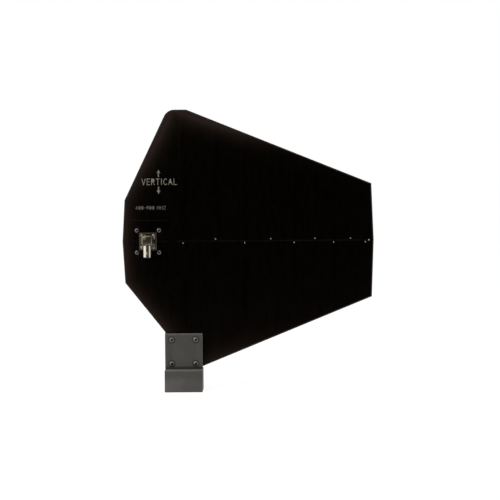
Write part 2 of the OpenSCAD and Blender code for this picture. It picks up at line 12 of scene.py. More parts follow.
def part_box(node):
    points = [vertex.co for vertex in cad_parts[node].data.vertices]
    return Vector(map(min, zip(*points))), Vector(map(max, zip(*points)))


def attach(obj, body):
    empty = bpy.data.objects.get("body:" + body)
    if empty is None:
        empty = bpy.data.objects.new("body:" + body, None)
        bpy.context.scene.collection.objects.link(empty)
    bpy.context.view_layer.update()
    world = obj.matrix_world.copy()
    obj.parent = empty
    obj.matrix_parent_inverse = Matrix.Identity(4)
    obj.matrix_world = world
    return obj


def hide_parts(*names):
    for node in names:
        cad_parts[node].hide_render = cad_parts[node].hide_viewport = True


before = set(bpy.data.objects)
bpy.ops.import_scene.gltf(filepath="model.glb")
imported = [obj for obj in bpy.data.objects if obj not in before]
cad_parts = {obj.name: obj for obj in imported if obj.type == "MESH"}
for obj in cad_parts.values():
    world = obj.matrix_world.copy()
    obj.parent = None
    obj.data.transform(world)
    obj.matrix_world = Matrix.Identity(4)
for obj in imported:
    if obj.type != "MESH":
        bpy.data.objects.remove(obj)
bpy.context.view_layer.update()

bl_info = {
    "name": "Log Periodic Antenna",
    "version": (1, 0, 0),
    "blender": (4, 5, 0),
    "location": "View3D > Sidebar > Antenna",
    "description": "Builds the looks of a printed log periodic antenna round its CAD model",
    "category": "Object",
}

MM = 0.001
TURN = 2 * math.pi
# Angles between faces: drawn sharp above the first, rounded above the second, flat below the third
SHARP = math.radians(32)
ROUNDED = math.radians(25)
FLAT = math.radians(0.5)
# Points of a CAD mesh, and of a finished one, that are this close are one point
CAD_WELD = 0.002 * MM
WELD = 0.0005 * MM
# Share of a thread's pitch that is flat at its crest and at its root, and rings in one pitch
THREAD_FLAT = 0.125
THREAD_RINGS = 8


# Lengths and places that come from the CAD frame


def low(node):
    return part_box(node)[0]


def high(node):
    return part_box(node)[1]


def middle(node):
    lowest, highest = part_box(node)
    return (lowest + highest) / 2


BOARD_FRONT = low("antenna_board").y
BOARD_REAR = high("antenna_board").y
COPPER_FRONT = low("front_copper").y
COPPER_REAR = high("rear_copper").y
BOOM_Z = middle("tip_solder").z
FEED_X = middle("tip_solder").x
JACK_X = middle("connector_body").x


# Meshes


def tidy(bm):
    """Faces all outwards, with no doubled points."""
    bmesh.ops.remove_doubles(bm, verts=bm.verts, dist=WELD)
    bmesh.ops.recalc_face_normals(bm, faces=bm.faces)


def new_piece(name, bm, finishes, replaced=(), sharp=SHARP):
    """Makes a piece that rides on the antenna from a bmesh, with smooth faces between its sharp edges."""
    mesh = bpy.data.meshes.new(name)
    bm.to_mesh(mesh)
    bm.free()
    for finish in finishes:
        mesh.materials.append(finish)
    mesh.shade_smooth()
    mesh.set_sharp_from_angle(angle=sharp)
    piece = bpy.data.objects.new(name, mesh)
    bpy.context.scene.collection.objects.link(piece)
    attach(piece, "root")
    if replaced:
        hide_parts(*replaced)
    return piece


def finish_node(node, finish):
    """Gives a CAD node that stays in view its finish."""
    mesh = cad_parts[node].data
    mesh.materials.clear()
    mesh.materials.append(finish)


def node_bmesh(node):
    """A copy of a CAD node's mesh, with its flat faces whole again."""
    bm = bmesh.new()
    bm.from_mesh(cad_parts[node].data)
    bmesh.ops.remove_doubles(bm, verts=bm.verts, dist=CAD_WELD)
    bmesh.ops.dissolve_limit(
        bm, angle_limit=FLAT, use_dissolve_boundaries=False, verts=bm.verts, edges=bm.edges
    )
    return bm


def soften(bm, width, segments=2, least=ROUNDED, chosen=None):
    """Rounds the sharp edges of a bmesh, or those of them that chosen says."""
    edges = [e for e in bm.edges if len(e.link_faces) == 2 and e.calc_face_angle(0) > least]
    if chosen:
        edges = [e for e in edges if chosen(e)]
    bmesh.ops.bevel(
        bm, geom=edges, offset=width, offset_type="OFFSET", segments=segments, profile=0.5,
        affect="EDGES", clamp_overlap=True, loop_slide=True,
    )


def eased_piece(name, node, width, finish, segments=2, least=ROUNDED):
    """Makes a piece from a CAD node's mesh, with its sharp edges rounded."""
    bm = node_bmesh(node)
    soften(bm, width, segments, least)
    new_piece(name, bm, [finish], [node])


def signed_area(loop):
    return sum(a.x * b.y - a.y * b.x for a, b in zip(loop, loop[1:] + loop[:1])) / 2


def largest(loops):
    """The loop round the outside."""
    return max(loops, key=lambda loop: abs(signed_area(loop)))


def without_straight_points(loop):
    """A loop without the points at which it doesn't turn."""
    straight = math.cos(math.radians(0.2))
    kept = []
    for i, point in enumerate(loop):
        before = (point - loop[i - 1]).normalized()
        after = (loop[(i + 1) % len(loop)] - point).normalized()
        if before.dot(after) < straight:
            kept.append(point)
    return kept


def outlines(node, y):
    """The outlines of a node's faces in the plane y, as loops of (x, z) with the material on their left."""
    bm = node_bmesh(node)
    in_plane = {f for f in bm.faces if all(abs(v.co.y - y) < 2 * CAD_WELD for v in f.verts)}
    follows = {}
    for face in in_plane:
        for loop in face.loops:
            if not any(other in in_plane for other in loop.edge.link_faces if other is not face):
                follows.setdefault(loop.vert.index, []).append(loop.link_loop_next.vert.index)
    bm.verts.ensure_lookup_table()
    loops = []
    while follows:
        start = next(iter(follows))
        index, found = start, []
        while index in follows:
            found.append(Vector((bm.verts[index].co.x, bm.verts[index].co.z)))
            onward = follows[index].pop()
            if not follows[index]:
                del follows[index]
            index = onward
        loops.append(without_straight_points(found))
    facing = sum(f.normal.y * f.calc_area() for f in in_plane)
    bm.free()
    # Seen along +Y, with X to the right and Z up, a face that looks to the front runs counter-clockwise
    return [loop if facing < 0 else loop[::-1] for loop in loops]


def offset_loop(loop, away):
    """Moves every side of a loop away from the material by a distance."""
    narrowest = 0.4
    moved = []
    for i, point in enumerate(loop):
        before = (point - loop[i - 1]).normalized()
        after = (loop[(i + 1) % len(loop)] - point).normalized()
        normal = Vector((before.y, -before.x))
        bisector = (normal + Vector((after.y, -after.x))).normalized()
        moved.append(point + bisector * (away / max(bisector.dot(normal), narrowest)))
    return moved


def fill_rings(bm, rings):
    """Flat faces between an outer ring and the rings of its holes."""
    edges = []
    for ring in rings:
        for a, b in zip(ring, ring[1:] + ring[:1]):
            edges.append(bm.edges.get((a, b)) or bm.edges.new((a, b)))
    bmesh.ops.triangle_fill(bm, use_beauty=True, use_dissolve=False, edges=edges)


def bridge(bm, a, b, finish=0):
    """Faces between two rings, either of which may be a single point."""
    count = max(len(a), len(b))
    for i in range(count):
        j = (i + 1) % count
        corners = [a[i % len(a)], a[j % len(a)], b[j % len(b)], b[i % len(b)]]
        corners = list(dict.fromkeys(corners))
        if len(corners) > 2:
            bm.faces.new(corners).material_index = finish


def stack(bm, loops, levels):
    """Walls through rings at (distance away, y, finish) for each loop, closed at both ends.
    levels is a function of the loop, and the finish of a level is that of the wall that leads to it."""
    first, last = [], []
    for loop in loops:
        rings = []
        for away, y, finish in levels(loop):
            ring = [bm.verts.new((p.x, y, p.y)) for p in offset_loop(loop, away)]
            if rings:
                bridge(bm, rings[-1], ring, finish)
            rings.append(ring)
        first.append(rings[0])
        last.append(rings[-1])
    fill_rings(bm, first)
    fill_rings(bm, last)


def ring_points(radius, height, flats, segments):
    """Points of a circle about Z, or of a polygon with that many flats and that radius inside."""
    points = []
    for i in range(segments):
        angle = TURN * i / segments
        reach = radius
        if flats:
            reach = radius / math.cos((angle % (TURN / flats)) - math.pi / flats)
        points.append(Vector((reach * math.cos(angle), reach * math.sin(angle), height)))
    return points


def turned(bm, profile, place, segments, closed=False, finish=0):
    """Turns a profile of (radius, height) or (radius, height, flats) about the Z axis of place."""
    rings = []
    for radius, height, *flats in profile:
        if radius == 0:
            rings.append([bm.verts.new(place @ Vector((0, 0, height)))])
        else:
            points = ring_points(radius, height, flats[0] if flats else 0, segments)
            rings.append([bm.verts.new(place @ p) for p in points])
    for a, b in zip(rings, rings[1:]):
        bridge(bm, a, b, finish)
    if closed:
        bridge(bm, rings[-1], rings[0], finish)
    return rings


def tooth(turns):
    """Depth of a thread's flank, from 0 at its crest to 1 at its root, after so many turns."""
    saw = abs(2 * (turns % 1) - 1)
    return min(1, max(0, (saw - THREAD_FLAT) / (1 - 2 * THREAD_FLAT)))


def threaded(bm, place, crest, depth, pitch, start, end, segments):
    """A helical thread about the Z axis of place. A depth below 0 cuts it outwards, as in a hole."""
    count = max(2, math.ceil((end - start) / pitch * THREAD_RINGS))
    rings = []
    for k in range(count + 1):
        height = start + (end - start) * k / count
        fade = min(1, (height - start) / pitch, (end - height) / pitch)
        ring = []
        for i in range(segments):
            angle = TURN * i / segments
            radius = crest - depth * fade * tooth(height / pitch - i / segments)
            point = Vector((radius * math.cos(angle), radius * math.sin(angle), height))
            ring.append(bm.verts.new(place @ point))
        rings.append(ring)
    for a, b in zip(rings, rings[1:]):
        bridge(bm, a, b)


def dome_profile(radius, height, steps, inner=0.0):
    """Points of a dome from its rim at height 0 up to the radius inner."""
    ball = (radius * radius + height * height) / (2 * height)
    reach = math.asin(min(1, radius / ball))
    stop = math.asin(min(1, inner / ball))
    points = []
    for i in range(steps + 1):
        angle = reach + (stop - reach) * i / steps
        points.append((ball * math.sin(angle), height - ball * (1 - math.cos(angle))))
    return points


def pointing(direction, at, spin=0.0):
    """A place at a point, with its Z axis along a direction and turned by spin about it."""
    turn = Vector(direction).to_track_quat("Z", "X").to_matrix().to_4x4()
    return Matrix.Translation(at) @ turn @ Matrix.Rotation(spin, 4, "Z")


class Solid:
    """One separate solid of a CAD node: its lowest and highest corners, its middle and half its width."""

    def __init__(self, lowest, highest):
        self.low = lowest
        self.high = highest
        self.centre = (lowest + highest) / 2
        self.radius = (highest.x - lowest.x) / 2


def solids(node):
    """A node's separate solids, from the bottom up and from left to right."""
    bm = bmesh.new()
    bm.from_mesh(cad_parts[node].data)
    bmesh.ops.remove_doubles(bm, verts=bm.verts, dist=CAD_WELD)
    left = set(bm.verts)
    found = []
    while left:
        grown = set()
        edge = [left.pop()]
        while edge:
            vert = edge.pop()
            grown.add(vert)
            for link in vert.link_edges:
                other = link.other_vert(vert)
                if other in left:
                    left.remove(other)
                    edge.append(other)
        lowest = Vector(min(v.co[i] for v in grown) for i in range(3))
        highest = Vector(max(v.co[i] for v in grown) for i in range(3))
        found.append(Solid(lowest, highest))
    bm.free()
    return sorted(found, key=lambda solid: (round(solid.low.z, 4), round(solid.low.x, 4)))


# Finishes


class Nodes:
    """Short ways to add nodes to a material or to the world."""

    def __init__(self, tree, space=None):
        self.tree = tree
        if space:
            self.place = self.add("ShaderNodeTexCoord").outputs[space]

    def add(self, kind, **settings):
        node = self.tree.nodes.new(kind)
        for name, value in settings.items():
            setattr(node, name, value)
        return node

    def put(self, value, target):
        """Joins a socket to another one, or gives it a value."""
        if isinstance(value, bpy.types.NodeSocket):
            self.tree.links.new(value, target)
        else:
            target.default_value = value

    def math(self, operation, result, *others):
        """A calculation with two or more numbers or sockets, from left to right."""
        for value in others:
            node = self.add("ShaderNodeMath", operation=operation)
            self.put(result, node.inputs[0])
            self.put(value, node.inputs[1])
            result = node.outputs["Value"]
        return result

    def ranged(self, value, start, end, low_value=0.0, high_value=1.0):
        """Spreads the values from start to end over another range, with soft ends."""
        node = self.add("ShaderNodeMapRange", interpolation_type="SMOOTHSTEP")
        self.put(value, node.inputs["Value"])
        self.put(start, node.inputs["From Min"])
        self.put(end, node.inputs["From Max"])
        self.put(low_value, node.inputs["To Min"])
        self.put(high_value, node.inputs["To Max"])
        return node.outputs["Result"]

    def coordinate(self, axis):
        split = self.add("ShaderNodeSeparateXYZ")
        self.put(self.place, split.inputs["Vector"])
        return split.outputs[axis]

    def direct_ray(self, behind=1.0):
        """1 for the camera's rays and those through glass, and for mirrored ones where behind is 1."""
        path = self.add("ShaderNodeLightPath")
        mirrored = self.math("MULTIPLY", path.outputs["Is Glossy Ray"], behind)
        clear = path.outputs["Is Transmission Ray"]
        return self.math("MAXIMUM", path.outputs["Is Camera Ray"], clear, mirrored)

    def mixed_shader(self, share, a, b):
        """Shader a where share is 0 and b where it is 1."""
        node = self.add("ShaderNodeMixShader")
        self.put(share, node.inputs["Fac"])
        self.put(a.outputs[0], node.inputs[1])
        self.put(b.outputs[0], node.inputs[2])
        return node.outputs[0]


class Finish(Nodes):
    """A new material with its Principled shader, and short ways to give it colour, roughness and relief."""

    def __init__(self, name, roughness, metallic=0.0, level=0.5):
        self.material = bpy.data.materials.new(name)
        self.material.use_nodes = True
        super().__init__(self.material.node_tree, "Object")
        self.shader = self.tree.nodes["Principled BSDF"]
        self.shader.inputs["Roughness"].default_value = roughness
        self.shader.inputs["Metallic"].default_value = metallic
        self.shader.inputs["Specular IOR Level"].default_value = level

    def stretched(self, scale):
        """The object's coordinates, scaled along each axis."""
        node = self.add("ShaderNodeMapping")
        self.put(scale, node.inputs["Scale"])
        self.put(self.place, node.inputs["Vector"])
        return node.outputs["Vector"]

    def noise(self, scale, detail=4.0, rough=0.5, source=None, distortion=0.0):
        node = self.add("ShaderNodeTexNoise")
        self.put(scale, node.inputs["Scale"])
        self.put(detail, node.inputs["Detail"])
        self.put(rough, node.inputs["Roughness"])
        self.put(distortion, node.inputs["Distortion"])
        self.put(source or self.place, node.inputs["Vector"])
        return node.outputs["Fac"]

    def patches(self, scale, detail, start, end, low_value=0.0, high_value=1.0, rough=0.5):
        """Noise whose values from start to end are spread over another range."""
        return self.ranged(self.noise(scale, detail, rough), start, end, low_value, high_value)

    def mixed(self, share, a, b):
        """Colour a where share is 0 and b where it is 1."""
        node = self.add("ShaderNodeMix", data_type="RGBA")
        self.put(share, node.inputs["Factor"])
        for name, value in (("A", a), ("B", b)):
            socket = next(s for s in node.inputs if s.name == name and s.type == "RGBA")
            self.put(value if isinstance(value, bpy.types.NodeSocket) else (*value, 1), socket)
        return next(s for s in node.outputs if s.type == "RGBA")

    def colour(self, source):
        self.put(source, self.shader.inputs["Base Color"])

    def roughness(self, source):
        self.put(source, self.shader.inputs["Roughness"])

    def bump(self, height, distance, strength=1.0):
        """Adds relief of a height given in metres, on top of the relief that is there."""
        node = self.add("ShaderNodeBump")
        self.put(strength, node.inputs["Strength"])
        self.put(distance, node.inputs["Distance"])
        self.put(height, node.inputs["Height"])
        target = self.shader.inputs["Normal"]
        if target.is_linked:
            self.put(target.links[0].from_socket, node.inputs["Normal"])
        self.put(node.outputs["Normal"], target)

    def between(self, axis, start, end, soft):
        """1 where a coordinate lies between two values, with soft edges."""
        value = self.coordinate(axis)
        rising = self.ranged(value, start - soft, start + soft)
        falling = self.ranged(value, end - soft, end + soft, 1, 0)
        return self.math("MULTIPLY", rising, falling)


def board_edges():
    """The board's long sides as (normal to the inside, distance), for the painted sheen that grows towards
    them.
    """
    long_side = 15 * MM
    foot = high("bracket").z + 2 * MM
    loop = largest(outlines("antenna_board", BOARD_FRONT))
    sides = []
    for a, b in zip(loop, loop[1:] + loop[:1]):
        if (b - a).length > long_side and max(a.y, b.y) > foot:
            along = (b - a).normalized()
            inside = Vector((-along.y, along.x))
            sides.append((inside, inside.dot(a)))
    return sides


def coating_finish(name, settings, shine=0.0, boom=False):
    """Black solder resist over laminate: satin and faintly mottled, with a painted brown sheen and glare
    towards the routed edges and the top rear, and a painted highlight over the boom.
    """
    finish = Finish(name, settings.coat_roughness, level=settings.coat_level)
    finish.shader.inputs["Specular Tint"].default_value = (*settings.coat_tint, 1)
    cloud = finish.math("MULTIPLY", finish.patches(28, 5, 0.3, 0.75, rough=0.6), 0.55)
    tone = finish.mixed(cloud, settings.coat_tone, settings.coat_tone_light)
    # Painted sheen and glare: brown near the board's edges, fading to the nose and growing to the top
    tone = finish.mixed(painted_edge_sheen(finish, settings), tone, settings.edge_sheen_tone)
    tone = finish.mixed(finish.patches(1300, 2, 0.70, 0.80, 0, 0.5), tone, settings.dust_tone)
    if boom:
        # Painted highlight along the boom and the copper's edge above the jack
        tone = finish.mixed(painted_boom_highlight(finish, settings), tone, settings.boom_highlight_tone)
    finish.colour(tone)
    rub = finish.noise(60, 4, 0.65, finish.stretched((3, 3, 1)))
    middle_roughness = settings.coat_roughness - shine
    finish.roughness(finish.ranged(rub, 0.3, 0.7, middle_roughness - 0.08, middle_roughness + 0.08))
    finish.bump(finish.noise(2600, 3), 0.012 * MM)
    finish.bump(finish.noise(240, 2), 0.03 * MM, 0.6)
    return finish.material


def painted_edge_sheen(finish, settings):
    """Painted sheen and glare on the coating, brown: halved over each edge reach, less to the nose and more
    to the top.
    """
    depths = []
    for inside, distance in board_edges():
        dot = finish.add("ShaderNodeVectorMath", operation="DOT_PRODUCT")
        finish.put(finish.place, dot.inputs[0])
        finish.put((inside.x, 0, inside.y), dot.inputs[1])
        depths.append(finish.math("SUBTRACT", dot.outputs["Value"], distance))
    reaches = finish.math("DIVIDE", finish.math("MINIMUM", *depths), settings.edge_reach)
    near = finish.math("MINIMUM", finish.math("POWER", 0.5, reaches), 1.0)
    to_nose = finish.ranged(finish.coordinate("X"), -10 * MM, 130 * MM, 1.45, 0.1)
    to_top = finish.ranged(finish.coordinate("Z"), 220 * MM, 320 * MM, 0.75, 1.9)
    return finish.math("MULTIPLY", near, finish.math("MULTIPLY", to_nose, to_top))


def painted_boom_highlight(finish, settings):
    """Painted highlight on the coating over the copper: along the boom, and along the copper's top edge
    above the jack.
    """
    line = finish.between("Z", BOOM_Z - 0.8 * MM, BOOM_Z + 0.8 * MM, 0.25 * MM)
    boom = finish.math("MULTIPLY", line, finish.patches(160, 3, 0.35, 0.6, 0.35, 0.8))
    top = BOOM_Z + settings.pad_half
    ledge = finish.between("Z", top - 0.7 * MM, top + 0.7 * MM, 0.3 * MM)
    across = finish.between("X", JACK_X - settings.pad_half, JACK_X + settings.pad_half, MM)
    return finish.math("MAXIMUM", boom, finish.math("MULTIPLY", ledge, across, 0.75))


def laminate_finish(settings):
    """Bare glass laminate: dark brown, with the crossed threads of its cloth."""
    finish = Finish("bare_laminate", 0.7, level=0.3)
    waves = []
    for direction in ("X", "Z"):
        wave = finish.add("ShaderNodeTexWave", wave_type="BANDS", bands_direction=direction)
        finish.put(330, wave.inputs["Scale"])
        finish.put(0.6, wave.inputs["Distortion"])
        finish.put(finish.place, wave.inputs["Vector"])
        waves.append(wave.outputs["Fac"])
    cloth = finish.math("MULTIPLY", *waves)
    layers = finish.noise(900, 3, 0.6, finish.stretched((0.15, 6, 0.15)))
    share = finish.math("MULTIPLY", finish.math("ADD", cloth, layers), 0.5)
    finish.colour(finish.mixed(share, settings.laminate_dark, settings.laminate_light))
    finish.roughness(finish.ranged(layers, 0.3, 0.7, 0.55, 0.85))
    finish.bump(cloth, 0.02 * MM)
    finish.bump(finish.noise(5000, 2), 0.01 * MM)
    return finish.material


def ink_finish(name, full, thin, patchy):
    """Printed ink, thinner in patches where it has worn."""
    finish = Finish(name, 0.6, level=0.25)
    worn = finish.patches(420, 4, 0.42, 0.66, 0, patchy, rough=0.7)
    finish.colour(finish.mixed(worn, full, thin))
    finish.bump(finish.noise(3000, 2), 0.008 * MM)
    return finish.material


def solder_finish(name, bright, stained):
    """Soft solder: dull silver with a finely crystalline skin and a darker flux stain."""
    finish = Finish(name, 0.34, metallic=1.0)
    grain = finish.add("ShaderNodeTexVoronoi", feature="F1")
    finish.put(2600, grain.inputs["Scale"])
    finish.put(finish.place, grain.inputs["Vector"])
    finish.colour(finish.mixed(finish.patches(700, 4, 0.45, 0.75), bright, stained))
    finish.roughness(finish.ranged(grain.outputs["Distance"], 0.0, 0.6, 0.28, 0.5))
    finish.bump(finish.noise(1500, 3), 0.03 * MM)
    return finish.material


def anodised_finish(settings):
    """Aluminium, bead blasted and anodised a dark warm grey, with painted light: a paler, cooler reflection
    on the lower block, painted shade in the block's corner and round the screws, and painted highlights
    along the flange's top edge and the block's top front edge.
    """
    finish = Finish("anodised_aluminium", 0.55, level=0.25)
    # Painted reflection: the lower block paler and cooler than the flange
    block = finish.between("Z", -10 * MM, 15 * MM, 5 * MM)
    tone = finish.mixed(block, settings.bracket_tone, settings.block_reflection_tone)
    tone = finish.mixed(finish.patches(38, 3, 0.35, 0.65, 0, 0.55), tone, settings.bracket_cloud)
    blast = finish.noise(3800, 3, 0.6)
    tone = finish.mixed(finish.ranged(blast, 0.56, 0.74, 0, 0.2), tone, settings.bracket_glint)
    flange = finish.between("Y", -7.0 * MM, BOARD_FRONT + MM, 0.3 * MM)
    corner = settings.block_top
    # Painted shade in the corner between the flange and the block's top
    painted_crease_shade = finish.between("Z", corner - MM, corner + 2.6 * MM, 1.5 * MM)
    tone = finish.mixed(finish.math("MULTIPLY", painted_crease_shade, flange), tone, settings.painted_shade_tone)
    top = high("bracket").z
    # Painted highlight along the flange's top edge, where light falls from above
    rubbed = finish.math("MULTIPLY", finish.between("Z", top - 1.1 * MM, top + MM, 0.5 * MM), 0.65)
    # Painted highlight along the block's top front edge
    block_front = finish.between("Y", -20 * MM, -5.8 * MM, 0.1 * MM)
    block_edge = finish.between("Z", corner - 1.3 * MM, corner + 0.3 * MM, 0.4 * MM)
    lip = finish.math("MULTIPLY", block_edge, block_front, 0.8)
    tone = finish.mixed(finish.math("MAXIMUM", rubbed, lip), tone, settings.worn_and_lit_tone)
    # Painted shade round the screws
    tone = finish.mixed(finish.math("MULTIPLY", screw_shade(finish), flange), tone, settings.painted_shade_tone)
    eased = finish.add("ShaderNodeAttribute", attribute_name="eased").outputs["Fac"]
    wear = finish.math("MULTIPLY", eased, finish.patches(260, 4, 0.35, 0.65, 0.35, 0.9))
    finish.colour(finish.mixed(wear, tone, settings.worn_and_lit_tone))
    finish.roughness(finish.patches(160, 4, 0.3, 0.7, 0.45, 0.62))
    finish.bump(blast, 0.02 * MM)
    return finish.material


def screw_shade(finish):
    """Painted shade in a ring round each of the bracket's screws."""
    flat = finish.stretched((1, 0, 1))
    distances = []
    for screw in solids("bracket_screws"):
        away = finish.add("ShaderNodeVectorMath", operation="DISTANCE")
        finish.put(flat, away.inputs[0])
        finish.put((screw.centre.x, 0, screw.centre.z), away.inputs[1])
        distances.append(away.outputs["Value"])
    return finish.ranged(finish.math("MINIMUM", *distances), 3.4 * MM, 5.0 * MM, 0.75, 0)


def black_screw_finish(settings):
    """Black oxide on steel, rubbed paler on raised places, with a trace of oil."""
    finish = Finish("black_oxide", 0.46, metallic=0.75)
    rubbed = finish.patches(900, 4, 0.35, 0.65, rough=0.6)
    finish.colour(finish.mixed(rubbed, settings.oxide, settings.oxide_rubbed))
    finish.roughness(finish.patches(1500, 3, 0.3, 0.7, 0.38, 0.54))
    finish.bump(finish.noise(4200, 2), 0.008 * MM)
    return finish.material


def socket_shade_finish(settings):
    """Painted shade inside a socket, faintly mottled."""
    finish = Finish("socket_grime", 0.8, level=0.1)
    dust = finish.noise(2600, 4, 0.7)
    # Painted shade: the socket's inside drawn near black
    finish.colour(finish.mixed(finish.ranged(dust, 0.5, 0.8), settings.oil, settings.painted_shade_tone))
    finish.bump(dust, 0.03 * MM)
    return finish.material


def zinc_finish(settings):
    """Bright zinc on steel, with the faint yellow and blue of its passivation."""
    finish = Finish("bright_zinc", 0.3, metallic=1.0)
    stain = finish.noise(240, 3, 0.5, distortion=1.5)
    tone = finish.mixed(finish.ranged(stain, 0.3, 0.5), settings.zinc_blue, settings.zinc)
    finish.colour(finish.mixed(finish.ranged(stain, 0.52, 0.7), tone, settings.zinc_yellow))
    finish.roughness(finish.patches(1100, 4, 0.3, 0.7, 0.2, 0.42))
    finish.bump(finish.noise(1900, 3), 0.01 * MM)
    return finish.material


def nickel_finish(name, settings, bright, dull, roughness, scuffs, wave=0.0, darkening=None):
    """Nickel on brass, with warm tarnish, scuffs where it has been handled, and the waviness of its polish.
    The darkening is a function that gives how much darker each place is, from 0 to 1."""
    smooth, coarse = roughness
    finish = Finish(name, smooth, metallic=1.0)
    tone = finish.mixed(finish.patches(320, 5, 0.35, 0.7, rough=0.65), bright, dull)
    marks = finish.noise(420, 5, 0.75, finish.stretched((1, 1, 5)), distortion=2.0)
    scuff = finish.ranged(marks, 0.58, 0.66, 0, scuffs)
    tone = finish.mixed(scuff, tone, settings.scuff)
    if darkening:
        tone = finish.mixed(darkening(finish), tone, settings.jack_dark_tone)
    finish.colour(tone)
    rough = finish.patches(700, 4, 0.3, 0.7, smooth, coarse)
    finish.roughness(finish.math("ADD", rough, finish.math("MULTIPLY", scuff, 0.3)))
    if wave:
        finish.bump(finish.noise(230, 1), wave)
    finish.bump(finish.noise(2400, 3), 0.004 * MM)
    return finish.material


def body_darkening(finish):
    """Darker on the jack's body: along its flange's outer edge, and on the front of the bevel above the
    barrel.
    """
    lowest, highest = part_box("connector_body")
    depths = []
    for i, axis in ((0, "X"), (2, "Z")):
        value = finish.coordinate(axis)
        depths.append(finish.math("SUBTRACT", value, lowest[i]))
        depths.append(finish.math("SUBTRACT", highest[i], value))
    edge = finish.ranged(finish.math("MINIMUM", *depths), 0.25 * MM, 1.0 * MM, 0.65, 0)
    barrel_top = high("connector_barrel").z
    bevel = finish.between("Z", barrel_top - 2.9 * MM, barrel_top - 1.2 * MM, 0.35 * MM)
    front = finish.between("Y", lowest.y - MM, lowest.y + 2.2 * MM, 0.2 * MM)
    return finish.math("MAXIMUM", edge, finish.math("MULTIPLY", bevel, front, 0.75))


def mouth_darkening(finish):
    """Darker round the barrel's mouth."""
    mouth = low("connector_barrel").z
    return finish.ranged(finish.coordinate("Z"), mouth + 0.5 * MM, mouth + 1.3 * MM, 0.97, 0)


def fluoropolymer_finish(settings):
    """White fluoropolymer with the fine rings of turning, faintly translucent."""
    finish = Finish("white_fluoropolymer", 0.42, level=0.35)
    finish.shader.inputs["Subsurface Weight"].default_value = 0.15
    finish.shader.inputs["Subsurface Radius"].default_value = (0.6 * MM, 0.55 * MM, 0.5 * MM)
    finish.shader.inputs["Subsurface Scale"].default_value = 1.0
    finish.colour(finish.mixed(finish.noise(500, 3), settings.white, settings.white_dull))
    rings = finish.noise(2500, 2, 0.5, finish.stretched((0.3, 0.3, 2)))
    finish.bump(rings, 0.008 * MM)
    return finish.material


def gold_finish(settings):
    """Thin gold plate, a little worn to its paler nickel."""
    finish = Finish("gold_plate", 0.22, metallic=1.0)
    worn = finish.patches(1600, 4, 0.5, 0.72, 0, 0.7)
    finish.colour(finish.mixed(worn, settings.gold, settings.gold_worn))
    finish.roughness(finish.patches(2600, 3, 0.3, 0.7, 0.14, 0.32))
    finish.bump(finish.noise(5200, 2), 0.003 * MM)
    return finish.material


def cover_finish(settings):
    """Moulded black plastic with a fine spark-eroded grain."""
    finish = Finish("moulded_black", 0.55, level=0.4)
    tone = finish.mixed(finish.patches(110, 4, 0.3, 0.7), settings.plastic, settings.plastic_light)
    finish.colour(finish.mixed(finish.patches(1500, 2, 0.68, 0.8, 0, 0.4), tone, settings.plastic_dust))
    finish.roughness(finish.patches(260, 3, 0.3, 0.7, 0.45, 0.65))
    finish.bump(finish.noise(3400, 4, 0.6), 0.03 * MM)
    return finish.material


def copper_finish(settings):
    """Drawn copper, tarnished in patches, with fine lines along its length."""
    finish = Finish("tarnished_copper", 0.3, metallic=1.0)
    tarnish = finish.patches(210, 5, 0.35, 0.68, rough=0.65)
    drawn = finish.noise(2600, 3, 0.6, finish.stretched((0.02, 1, 1)))
    tone = finish.mixed(tarnish, settings.copper, settings.copper_tarnish)
    finish.colour(finish.mixed(finish.ranged(drawn, 0.55, 0.75, 0, 0.35), tone, settings.copper_drawn))
    finish.roughness(finish.ranged(tarnish, 0.0, 1.0, 0.22, 0.45))
    finish.bump(drawn, 0.006 * MM)
    return finish.material


# Sizes and colours


def length(name, description, millimetres):
    default = millimetres * MM
    return FloatProperty(name=name, description=description, default=default, unit="LENGTH", precision=5)


def place(name, description, millimetres):
    default = [part * MM for part in millimetres]
    return FloatVectorProperty(name=name, description=description, default=default, size=3, unit="LENGTH")


def degrees(name, description, default):
    return FloatProperty(name=name, description=description, default=math.radians(default), subtype="ANGLE")


def factor(name, description, default):
    return FloatProperty(name=name, description=description, default=default, min=0, max=1, subtype="FACTOR")


def number(name, description, default, unit="NONE"):
    return FloatProperty(name=name, description=description, default=default, unit=unit)


def tone(name, description, default):
    return FloatVectorProperty(
        name=name, description=description, default=default, size=3, subtype="COLOR", min=0, max=1
    )


class CoatingSettings(PropertyGroup):
    margin: length("Bare margin", "Width of bare laminate along the board's routed edge", 1.3)
    coat_depth: length("Coating depth", "Step from the coating down to the bare laminate", 0.03)
    chamfer: length("Edge chamfer", "Chamfer of the board's routed edge", 0.12)
    shoulder: length("Shoulder", "How far the coating slopes out round the copper", 0.12)
    crest: length("Crest", "How far the coating is rounded over the copper's edge", 0.06)
    # Painted sheen: distance from the edge at which its brown halves
    edge_reach: length("Edge reach", "Distance from the board's edge at which its brown has halved", 4.5)
    pad_half: length("Jack area", "Distance from the boom to the copper's edge above the jack", 24.5)
    coat_roughness: factor("Roughness", "Roughness of the coating", 0.36)
    coat_level: factor("Gloss", "Gloss of the coating", 0.04)
    coat_tint: tone("Sheen", "Tint of the coating's gloss", (1.0, 0.72, 0.6))
    coat_tone: tone("Coating", "Black of the coating", (0.0003, 0.0002, 0.0001))
    coat_tone_light: tone("Mottling", "Paler patches of the coating", (0.0010, 0.0007, 0.0003))
    # Painted sheen and glare, brown, at the board's edge
    edge_sheen_tone: tone("Edge", "Brown of the coating at the board's edge", (0.0210, 0.0140, 0.0115))
    dust_tone: tone("Dust", "Fine dust on the coating", (0.012, 0.011, 0.009))
    # Painted highlight over the front boom
    boom_highlight_tone: tone("Worn boom", "Coating worn thin on the front boom", (0.0062, 0.0056, 0.0046))
    laminate_dark: tone("Laminate", "Dark brown of the bare laminate", (0.0105, 0.0070, 0.0038))
    laminate_light: tone("Glass", "Paler threads in the bare laminate", (0.024, 0.0175, 0.0105))


